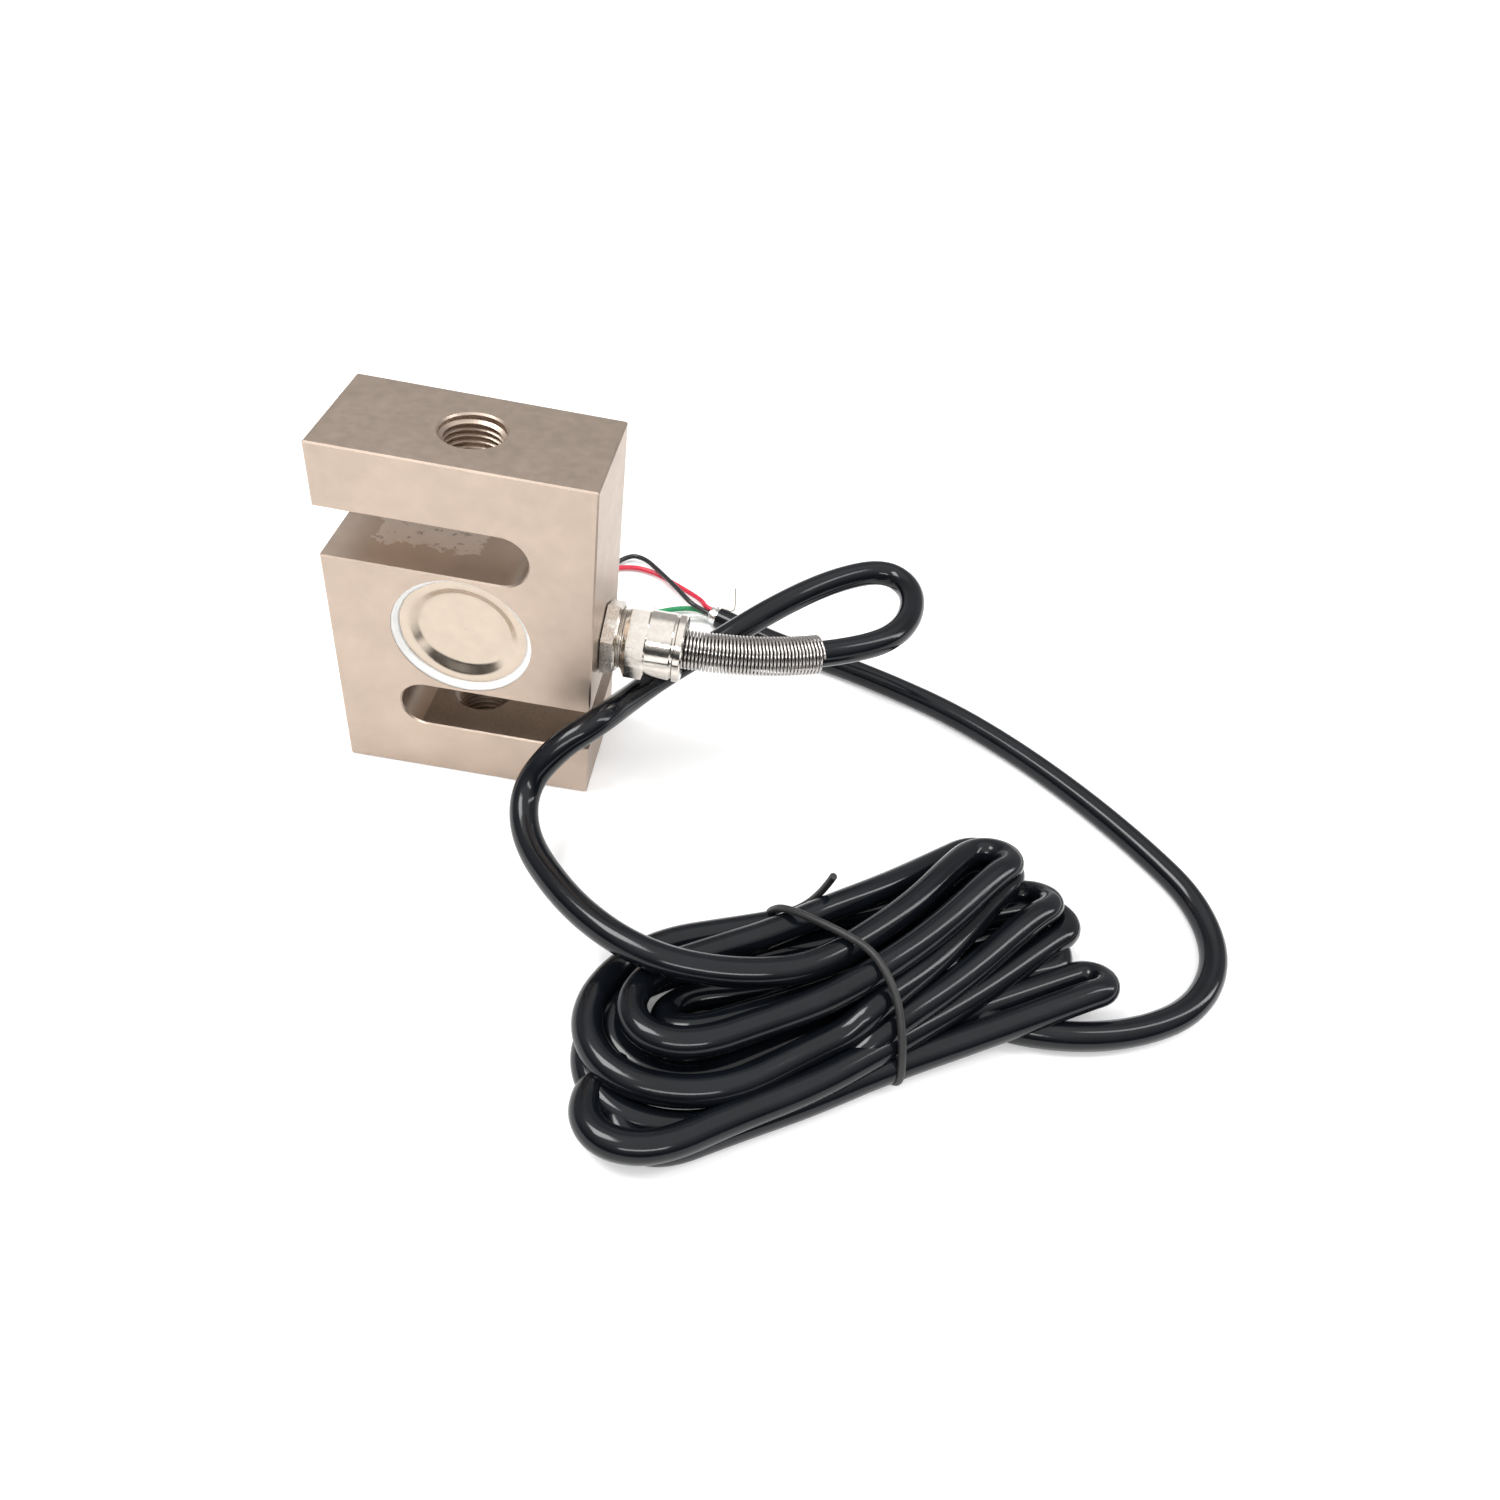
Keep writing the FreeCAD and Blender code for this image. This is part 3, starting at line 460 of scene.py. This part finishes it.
# Outlines of (radius, distance out of the block's right face), in millimetres.
HEX_STEPS = 144
HEX_CORNER = 0.5 / math.cos(math.pi / 6)
BODY_FLATS = 13.9
BODY_OUTLINE = [
    (3.05, -5.0), (4.95, -5.0), (4.95, 0.1), (6.6, 0.1), (BODY_FLATS * HEX_CORNER, 0.3),
    (BODY_FLATS * HEX_CORNER, 2.75), (6.75, 3.2), (5.8, 3.2), (5.8, 9.2), (3.05, 9.2),
]
CAP_FLATS = 14.1
CAP_OUTLINE = [
    (5.86, 4.4), (6.55, 4.4), (CAP_FLATS * HEX_CORNER, 5.3), (CAP_FLATS * HEX_CORNER, 8.85),
    (7.0, 9.1), (6.9, 9.12), (6.9, 13.95), (6.75, 14.2), (6.45, 14.2), (6.45, 14.6), (6.7, 14.6),
    (7.0, 14.85), (7.0, 16.1), (6.7, 16.4), (4.6, 16.4), (4.2, 16.0), (4.2, 12.4), (5.86, 12.4),
]


def add_gland_half(name, outline, across_flats, slot, node):
    """Turned outline on the gland's axis, whose outermost parts a hexagon cuts flat."""
    flat = across_flats * MM / 2

    def clamp(angle, radius, height):
        if height < 0 or radius <= flat - 0.01 * MM:
            return radius, height
        aside = angle % (math.pi / 3) - math.pi / 6
        return min(radius, flat / math.cos(aside)), height

    centre = Matrix.Translation((BLOCK_RIGHT, 0, GLAND_HEIGHT))
    place = centre @ Matrix.Rotation(math.radians(90), 4, "Y")
    scaled = [(radius * MM, along * MM) for radius, along in outline]
    data = lathe(name, scaled, place, HEX_STEPS, clamp)
    data.set_sharp_from_angle(angle=math.radians(28))
    add_piece(name, data, slot, node)


add_gland_half("gland_hex_body", BODY_OUTLINE, BODY_FLATS, "gland_plain", "gland_body")
add_gland_half("gland_cap_nut", CAP_OUTLINE, CAP_FLATS, "gland_bright", "gland_cap")

THREAD_PITCH = 1.25 * MM
THREAD_ROOT = 6.0 * MM
THREAD_CREST = 5.25 * MM
THREAD_TURN_STEPS = 48
# Shares of a ridge's height and pitch: its depth in the wall, and half its width at tip and foot.
RIDGE_SINK = 0.12
RIDGE_TIP = 0.09
RIDGE_FOOT = 0.47
NECK_START = 28.75 * MM
NECK_LENGTH = 0.95 * MM
NECK_ROOT = 5.8 * MM
NECK_CREST = 6.15 * MM
NECK_PITCH = 0.5 * MM


def add_ridge(name, slot, start, axis, length, root, crest, pitch):
    """Helical V ridge on a wall: root is the wall's radius and crest the ridge's."""
    side = axis.orthogonal().normalized()
    across = axis.cross(side)
    centres, outwards = [], []
    total = int(length / pitch * THREAD_TURN_STEPS)
    for i in range(total + 1):
        angle = 2 * math.pi * i / THREAD_TURN_STEPS
        outward = side * math.cos(angle) + across * math.sin(angle)
        centres.append(start + axis * (length * i / total) + outward * root)
        outwards.append(outward)
    height = crest - root
    sunk, tip, foot = -RIDGE_SINK * height, RIDGE_TIP * pitch, RIDGE_FOOT * pitch
    section = [(sunk, -foot), (height, -tip), (height, tip), (sunk, foot)]
    add_piece(name, swept(name, centres, outwards, section, smooth=False), slot)


def add_threads():
    """Ridges in both load holes, which end a little inside them, and on the gland's neck."""
    inset = 0.6 * THREAD_PITCH
    for mount in frame["record"]["mounts"]:
        if mount["kind"] == "threaded_hole":
            axis = Vector(mount["axis"])
            length = mount["dims"]["length_mm"] * MM - 2 * inset
            start = Vector(mount["pos_m"]) - axis * (length + inset)
            add_ridge(mount["name"] + "_ridges", "block_nickel", start, axis, length,
                      THREAD_ROOT, THREAD_CREST, THREAD_PITCH)
    low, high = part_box("gland_body")
    start = Vector((NECK_START, (low.y + high.y) / 2, GLAND_HEIGHT))
    add_ridge("gland_neck_ridges", "gland_plain", start, Vector((1, 0, 0)), NECK_LENGTH,
              NECK_ROOT, NECK_CREST, NECK_PITCH)


add_threads()


# ------------------------------------------------------------------ cups and sealant
# Radii round the gauge pocket's axis, and heights out of the block's face.
CUP_SHEET = 0.4 * MM
CUP_DROP = 1.5 * MM
CUP_RADIUS = 12.55 * MM
CUP_BEND = 0.7 * MM
FLANGE = -1.4 * MM
POCKET_FLOOR = -1.79 * MM
BEAD_OUTER = 13.58 * MM
BEAD_INNER = 12.62 * MM
# The bead is uneven inside the first radius, and inside the second it moves only along the flange.
BEAD_UNEVEN = 13.5 * MM
BEAD_LIP = 12.5 * MM
BEAD_WAVES = ((3.0, 0.18), (9.0, 0.07))


def side_place(front):
    """Local frame of one gauge pocket: +Z out of the block's face, at mid height."""
    low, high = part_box("elastic_body")
    y = low.y if front else high.y
    turn = Matrix.Rotation(math.radians(90 if front else -90), 4, "X")
    return Matrix.Translation(Vector((0, y, (low.z + high.z) / 2))) @ turn


def add_cup(name, node, front):
    """Pressed dish with a rolled shoulder between its flange and its sunk floor."""
    floor = FLANGE - CUP_DROP
    top = [(0.01 * MM, floor), (8.6 * MM, floor), (10.9 * MM, FLANGE), (CUP_RADIUS, FLANGE)]
    bottom = [(CUP_RADIUS, FLANGE - CUP_SHEET), (10.8 * MM, FLANGE - CUP_SHEET),
              (8.5 * MM, floor - CUP_SHEET), (0.01 * MM, floor - CUP_SHEET)]
    outline = rounded(top + bottom, CUP_BEND, 6)
    add_piece(name, lathe(name, outline, side_place(front), 96), "cup_nickel", node)


def add_sealant(name, node, front, seed):
    """Hand-laid bead that climbs the pocket's wall, uneven round its edge."""
    outline = [(BEAD_OUTER, POCKET_FLOOR), (BEAD_OUTER, FLANGE + 1.25 * MM),
               (13.2 * MM, FLANGE + 0.75 * MM), (12.8 * MM, FLANGE + 0.3 * MM),
               (12.3 * MM, FLANGE + 0.02 * MM), (BEAD_INNER, FLANGE - 0.02 * MM),
               (BEAD_INNER, POCKET_FLOOR)]

    def ripple(angle, radius, height):
        spot = Vector((math.cos(angle), math.sin(angle), height * 300 + seed))
        wave = sum(noise.noise(spot * scale) * share for scale, share in BEAD_WAVES)
        if radius < BEAD_UNEVEN and height > FLANGE:
            height += wave * 0.9 * MM if radius > BEAD_LIP else 0
            radius += wave * 0.8 * MM
        return radius, height

    add_piece(name, lathe(name, outline, side_place(front), 160, ripple), "sealant_white", node)


for label, front, seed in (("front", True, 4), ("rear", False, 9)):
    add_cup(label + "_dish", label + "_sealing_cup", front)
    add_sealant(label + "_bead", label + "_sealant_ring", front, seed)


# ------------------------------------------------------------------ materials
class Shader:
    """Principled material with helpers that wire object-space textures into it."""

    def __init__(self, name, colour, rough, metal=0.0, specular=0.5):
        self.material = bpy.data.materials.new(name)
        self.material.use_nodes = True
        self.tree = self.material.node_tree
        self.surface = self.tree.nodes["Principled BSDF"]
        self.surface.inputs["Base Color"].default_value = (*colour, 1)
        self.surface.inputs["Roughness"].default_value = rough
        self.surface.inputs["Metallic"].default_value = metal
        self.surface.inputs["Specular IOR Level"].default_value = specular
        self.colour = colour
        self.rough = rough
        self.place = self.node("ShaderNodeTexCoord").outputs["Object"]

    def node(self, kind, **inputs):
        """New node with the inputs named, a space written as an underscore."""
        made = self.tree.nodes.new(kind)
        for key, value in inputs.items():
            made.inputs[key.replace("_", " ")].default_value = value
        return made

    def link(self, source, target):
        self.tree.links.new(source, target)

    def noise(self, per_mm, detail=3.0, roughness=0.55, stretch=None):
        """Noise of about that many cells per millimetre, as a 0 to 1 output."""
        made = self.node("ShaderNodeTexNoise", Scale=per_mm * 1000, Detail=detail, Roughness=roughness)
        where = self.place
        if stretch:
            mapping = self.node("ShaderNodeMapping")
            mapping.inputs["Scale"].default_value = stretch
            self.link(where, mapping.inputs["Vector"])
            where = mapping.outputs["Vector"]
        self.link(where, made.inputs["Vector"])
        return made.outputs["Fac"]

    def ramp(self, source, stops):
        """Colour ramp over a 0 to 1 source; each stop has a position and a colour or a grey."""
        made = self.node("ShaderNodeValToRGB")
        elements = made.color_ramp.elements
        while len(elements) < len(stops):
            elements.new(0.5)
        for element, (position, value) in zip(elements, stops):
            element.position = position
            element.color = (*value, 1) if isinstance(value, tuple) else (value, value, value, 1)
        self.link(source, made.inputs["Fac"])
        return made.outputs["Color"]

    def mix(self, factor, one, two):
        """Colour mix whose three inputs are numbers, colours or outputs of other nodes."""
        made = self.tree.nodes.new("ShaderNodeMix")
        made.data_type = "RGBA"
        sockets = {"Factor": made.inputs[0], "A": made.inputs[6], "B": made.inputs[7]}
        for key, value in (("Factor", factor), ("A", one), ("B", two)):
            if isinstance(value, (int, float)):
                sockets[key].default_value = value
            elif isinstance(value, tuple):
                sockets[key].default_value = (*value, 1)
            else:
                self.link(value, sockets[key])
        return made.outputs[2]

    def math(self, operation, one, two):
        """Maths on two numbers or outputs of other nodes."""
        made = self.tree.nodes.new("ShaderNodeMath")
        made.operation = operation
        for socket, value in zip(made.inputs, (one, two)):
            if isinstance(value, (int, float)):
                socket.default_value = value
            else:
                self.link(value, socket)
        return made.outputs[0]

    def vary(self, amount, per_mm, detail=4.0, contrast=0.15):
        """Base colour that drifts lighter and darker by amount."""
        source = self.noise(per_mm, detail)
        darker = tuple(c * (1 - amount) for c in self.colour)
        lighter = tuple(min(1.0, c * (1 + amount)) for c in self.colour)
        out = self.ramp(source, [(0.5 - contrast, darker), (0.5 + contrast, lighter)])
        self.link(out, self.surface.inputs["Base Color"])
        return out

    def vary_rough(self, amount, per_mm, detail=3.0):
        """Roughness that drifts up and down by amount."""
        source = self.noise(per_mm, detail)
        low, high = max(0.02, self.rough - amount), min(1.0, self.rough + amount)
        out = self.ramp(source, [(0.35, low), (0.65, high)])
        self.link(out, self.surface.inputs["Roughness"])

    def bump(self, height, source, strength=1.0):
        """Bump of that height in millimetres from a 0 to 1 source."""
        made = self.node("ShaderNodeBump", Strength=strength, Distance=height * MM)
        self.link(source, made.inputs["Height"])
        previous = self.surface.inputs["Normal"]
        if previous.is_linked:
            self.link(previous.links[0].from_socket, made.inputs["Normal"])
        self.link(made.outputs["Normal"], previous)

    def axis(self, letter):
        """Object-space coordinate in millimetres."""
        split = self.node("ShaderNodeSeparateXYZ")
        self.link(self.place, split.inputs[0])
        return self.math("MULTIPLY", split.outputs[letter], 1000.0)

    def band(self, source, low, high, soft):
        """1 between low and high, fading over soft at each end."""
        rise = self.node("ShaderNodeMapRange")
        self.link(source, rise.inputs["Value"])
        rise.inputs["From Min"].default_value = low - soft
        rise.inputs["From Max"].default_value = low
        fall = self.node("ShaderNodeMapRange")
        self.link(source, fall.inputs["Value"])
        fall.inputs["From Min"].default_value = high
        fall.inputs["From Max"].default_value = high + soft
        fall.inputs["To Min"].default_value = 1.0
        fall.inputs["To Max"].default_value = 0.0
        return self.math("MULTIPLY", rise.outputs["Result"], fall.outputs["Result"])


# Bands in millimetres: the heights of the two slots' floors, the stretch between the block's front
# and rear faces, and the pale patch on the upper floor before its edge is made ragged. The lower
# floor's band of painted shade has no limit along X, so it also paints a thin dark line across the
# block's left face.
LOW_SLOT_FLOOR = (12.95, 13.3)
HIGH_SLOT_FLOOR = (52.3, 52.65)
SLOT_DEPTH = (-12.3, 12.3)
PATCH_X = (-14.0, 6.0)
PATCH_Y = (-0.5, 10.0)
# Dark brown painted on the lower slot's floor as shade.
PAINTED_SLOT_SHADE = (0.12, 0.105, 0.09)
PALE_RESIDUE = (0.80, 0.72, 0.66)
RESIDUE_SPOT = (0.25, 0.21, 0.17)


def block_material():
    """Satin nickel, with painted shade on the lower slot's floor and a pale patch on the upper one's.
    """
    look = Shader("block_satin_nickel", (0.50, 0.403, 0.332), rough=0.40, metal=1.0)
    base = look.vary(0.055, per_mm=0.13, detail=6.0, contrast=0.2)
    look.vary_rough(0.03, per_mm=0.5, detail=4.0)
    look.bump(0.0016, look.noise(7.0, detail=3.0))
    look.bump(0.03, look.noise(0.15, detail=2.0), strength=0.35)
    x, y, z = look.axis("X"), look.axis("Y"), look.axis("Z")
    inside = look.band(y, *SLOT_DEPTH, 0.1)
    low_floor = look.math("MULTIPLY", look.band(z, *LOW_SLOT_FLOOR, 0.05), inside)
    high_floor = look.math("MULTIPLY", look.band(z, *HIGH_SLOT_FLOOR, 0.05), inside)
    specks = look.ramp(look.noise(1.6, detail=5.0, roughness=0.7), [(0.50, 0.0), (0.62, 1.0)])
    spatter = look.ramp(look.noise(0.55, detail=4.0, roughness=0.6), [(0.60, 0.0), (0.64, 1.0)])
    edge = look.math("MULTIPLY", look.noise(0.35, detail=4.0, roughness=0.6), 9.0)
    along = look.band(look.math("ADD", x, edge), *PATCH_X, 0.4)
    across = look.band(look.math("ADD", y, edge), *PATCH_Y, 0.4)
    patch = look.math("MULTIPLY", high_floor, look.math("MULTIPLY", along, across))
    # Painted shade on the lower slot's floor, deeper in specks.
    dark = look.math("MULTIPLY", low_floor, look.math("MAXIMUM", specks, 0.65))
    spots = look.math("MULTIPLY", patch, spatter)
    # Mixes the painted shade of the lower slot's floor into the base colour.
    colour = look.mix(look.math("MULTIPLY", dark, 0.75), base, PAINTED_SLOT_SHADE)
    colour = look.mix(look.math("MULTIPLY", patch, 0.6), colour, PALE_RESIDUE)
    colour = look.mix(look.math("MULTIPLY", spots, 0.6), colour, RESIDUE_SPOT)
    look.link(colour, look.surface.inputs["Base Color"])
    return look.material


def cup_material():
    look = Shader("cup_pressed_nickel", (0.55, 0.465, 0.38), rough=0.22, metal=1.0)
    look.vary(0.04, per_mm=0.3, detail=4.0)
    look.vary_rough(0.03, per_mm=0.4)
    look.bump(0.0008, look.noise(1.5, detail=2.0))
    return look.material


def sealant_material():
    look = Shader("sealant_silicone", (0.97, 0.97, 0.95), rough=0.45)
    look.vary(0.02, per_mm=0.8)
    look.vary_rough(0.08, per_mm=1.0)
    look.bump(0.03, look.noise(0.7, detail=3.0))
    return look.material


def gland_plain_material():
    look = Shader("gland_blasted_nickel", (0.66, 0.61, 0.55), rough=0.34, metal=1.0)
    look.vary(0.16, per_mm=3.2, detail=5.0, contrast=0.1)
    look.vary_rough(0.10, per_mm=3.0)
    look.bump(0.02, look.noise(4.5, detail=3.0))
    return look.material


def gland_bright_material():
    look = Shader("gland_turned_nickel", (0.72, 0.67, 0.61), rough=0.13, metal=1.0)
    look.vary(0.05, per_mm=0.9)
    look.vary_rough(0.05, per_mm=1.2)
    look.bump(0.004, look.noise(5.0, detail=2.0, stretch=(8.0, 0.4, 0.4)))
    return look.material


def spring_material():
    look = Shader("spring_stainless", (0.55, 0.52, 0.50), rough=0.2, metal=1.0)
    look.vary(0.05, per_mm=0.5)
    look.vary_rough(0.03, per_mm=0.5)
    look.bump(0.0005, look.noise(2.0, detail=2.0))
    return look.material


def jacket_material():
    look = Shader("cable_jacket_black", (0.004, 0.005, 0.007), rough=0.13, metal=0.0, specular=0.32)
    look.vary(0.25, per_mm=0.12, detail=3.0)
    look.vary_rough(0.04, per_mm=0.2, detail=3.0)
    look.bump(0.05, look.noise(0.10, detail=2.0), strength=0.5)
    look.bump(0.002, look.noise(2.0, detail=2.0))
    return look.material


def plastic_material(name, colour, rough, grain=0.01, per_mm=1.5):
    """Plain plastic or rubber, with a grain of that height in millimetres."""
    look = Shader(name, colour, rough)
    look.vary(0.10, per_mm=per_mm * 0.5)
    look.vary_rough(0.06, per_mm=per_mm)
    look.bump(grain, look.noise(per_mm * 2, detail=3.0))
    return look.material


def foil_material():
    look = Shader("core_foil_aluminium", (0.78, 0.78, 0.78), rough=0.22, metal=1.0)
    look.vary(0.08, per_mm=1.5)
    look.vary_rough(0.10, per_mm=2.0)
    look.bump(0.06, look.noise(1.6, detail=4.0))
    return look.material


def drain_material():
    look = Shader("drain_tinned", (0.62, 0.58, 0.52), rough=0.32, metal=1.0)
    look.vary(0.12, per_mm=2.0)
    look.vary_rough(0.08, per_mm=3.0)
    look.bump(0.03, look.noise(4.0, detail=2.0))
    return look.material


def gauge_material():
    look = Shader("gauge_film_amber", (0.70, 0.42, 0.13), rough=0.25)
    look.vary(0.10, per_mm=0.8)
    look.vary_rough(0.06, per_mm=1.5)
    wave = look.node("ShaderNodeTexWave", Scale=700.0)
    look.link(look.place, wave.inputs["Vector"])
    look.bump(0.02, wave.outputs["Fac"])
    return look.material


MATERIALS = {
    "block_nickel": block_material(),
    "cup_nickel": cup_material(),
    "sealant_white": sealant_material(),
    "gauge_film": gauge_material(),
    "board_laminate": plastic_material("board_laminate_green", (0.06, 0.22, 0.10), 0.35,
                                       grain=0.02, per_mm=2.0),
    "gasket_rubber": plastic_material("gasket_rubber_black", (0.02, 0.02, 0.02), 0.7,
                                      grain=0.02, per_mm=2.0),
    "gland_plain": gland_plain_material(),
    "gland_bright": gland_bright_material(),
    "spring_steel": spring_material(),
    "cable_jacket": jacket_material(),
    "tie_plastic": plastic_material("tie_black", (0.02, 0.02, 0.02), 0.5, grain=0.02, per_mm=1.5),
    "foil_braid": foil_material(),
    "wire_red_skin": plastic_material("wire_red", (0.60, 0.02, 0.05), 0.3),
    "wire_black_skin": plastic_material("wire_black", (0.015, 0.015, 0.015), 0.28),
    "wire_green_skin": plastic_material("wire_green", (0.02, 0.28, 0.10), 0.3),
    "wire_white_skin": plastic_material("wire_white", (0.82, 0.82, 0.80), 0.35),
    "drain_tin": drain_material(),
}


def dress():
    """Each CAD node and each piece gets the material of its slot."""
    slots = {entry["node"]: entry["material_slot"] for entry in frame["record"]["subparts"]}
    for name, node in frame["nodes"].items():
        node.data.materials.clear()
        node.data.materials.append(MATERIALS[slots[name]])
    for piece in bpy.data.objects:
        if "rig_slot" in piece and piece.name not in frame["nodes"]:
            piece.data.materials.clear()
            piece.data.materials.append(MATERIALS[piece["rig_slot"]])


dress()


# ------------------------------------------------------------------ floor and light
FLOOR_REACH = 4.0
# Distances from the block between which the paper goes to plain white, and its glow before that.
PAPER_NEAR = 0.15
PAPER_FAR = 0.45
PAPER_GLOW = 0.16
LIGHT_AIM = Vector((0.06, -0.02, 0.02))
# Brightness of the parts of the reflected room.
ROOM_HORIZON = 0.06
ROOM_CEILING = 0.65
ROOM_ZENITH = 1.3
ROOM_BACK = 0.50


def floor_material():
    """White paper that goes to plain white away from the object, for the camera only."""
    look = Shader("floor_white", (0.92, 0.92, 0.92), rough=0.7, metal=0.0, specular=0.1)
    look.bump(0.01, look.noise(0.8, detail=2.0), strength=0.2)
    away = look.node("ShaderNodeVectorMath")
    away.operation = "LENGTH"
    look.link(look.place, away.inputs[0])
    far = look.node("ShaderNodeMapRange")
    look.link(away.outputs["Value"], far.inputs["Value"])
    far.inputs["From Min"].default_value = PAPER_NEAR
    far.inputs["From Max"].default_value = PAPER_FAR
    far.inputs["To Min"].default_value = PAPER_GLOW
    path = look.node("ShaderNodeLightPath")
    look.surface.inputs["Emission Color"].default_value = (1, 1, 1, 1)
    look.link(look.math("MULTIPLY", path.outputs["Is Camera Ray"], far.outputs["Result"]),
              look.surface.inputs["Emission Strength"])
    return look.material


def add_floor():
    """Flat square that only stages the picture."""
    reach = FLOOR_REACH
    corners = [(-reach, -reach, 0), (reach, -reach, 0), (reach, reach, 0), (-reach, reach, 0)]
    data = mesh_of("floor", corners, [(0, 1, 2, 3)])
    floor = bpy.data.objects.new("floor", data)
    bpy.context.collection.objects.link(floor)
    data.materials.append(floor_material())


def add_light(name, place, width, height, watts):
    """Rectangular lamp aimed at the middle of the object."""
    data = bpy.data.lights.new(name, "AREA")
    data.shape = "RECTANGLE"
    data.size, data.size_y = width, height
    data.energy = watts
    light = bpy.data.objects.new(name, data)
    light.location = place
    light.rotation_euler = (LIGHT_AIM - Vector(place)).to_track_quat("-Z", "Y").to_euler()
    bpy.context.collection.objects.link(light)


def add_world():
    """Room for reflections: dark near the front horizon, grey behind, brighter up to the zenith."""
    world = bpy.data.worlds.new("studio")
    bpy.context.scene.world = world
    world.use_nodes = True
    nodes, links = world.node_tree.nodes, world.node_tree.links
    background = nodes["Background"]
    background.inputs["Color"].default_value = (1, 1, 1, 1)
    direction = nodes.new("ShaderNodeTexCoord")
    split = nodes.new("ShaderNodeSeparateXYZ")
    links.new(direction.outputs["Generated"], split.inputs[0])

    def ranged(source, low, high, start, end):
        """Strength that goes from start to end, each a number or an output, between low and high."""
        made = nodes.new("ShaderNodeMapRange")
        links.new(source, made.inputs["Value"])
        for key, value in (("From Min", low), ("From Max", high), ("To Min", start), ("To Max", end)):
            if isinstance(value, float):
                made.inputs[key].default_value = value
            else:
                links.new(value, made.inputs[key])
        return made.outputs["Result"]

    ceiling = ranged(split.outputs["Z"], 0.25, 0.6, ROOM_HORIZON, ROOM_CEILING)
    depth = ranged(split.outputs["Y"], -0.25, 0.30, ceiling, ROOM_BACK)
    room = ranged(split.outputs["Z"], 0.66, 0.84, depth, ROOM_ZENITH)
    path = nodes.new("ShaderNodeLightPath")
    choose = nodes.new("ShaderNodeMix")
    links.new(path.outputs["Is Camera Ray"], choose.inputs[0])
    links.new(room, choose.inputs[2])
    choose.inputs[3].default_value = 1.0
    links.new(choose.outputs[0], background.inputs["Strength"])


add_floor()
add_world()
add_light("key_softbox", (-0.32, -0.05, 0.66), width=0.30, height=0.30, watts=3.5)
add_light("front_strip", (0.10, -0.55, 0.47), width=0.5, height=0.09, watts=1.5)
add_light("right_strip", (0.60, 0.05, 0.45), width=0.10, height=0.6, watts=1.6)
bpy.context.scene.view_settings.view_transform = "Standard"
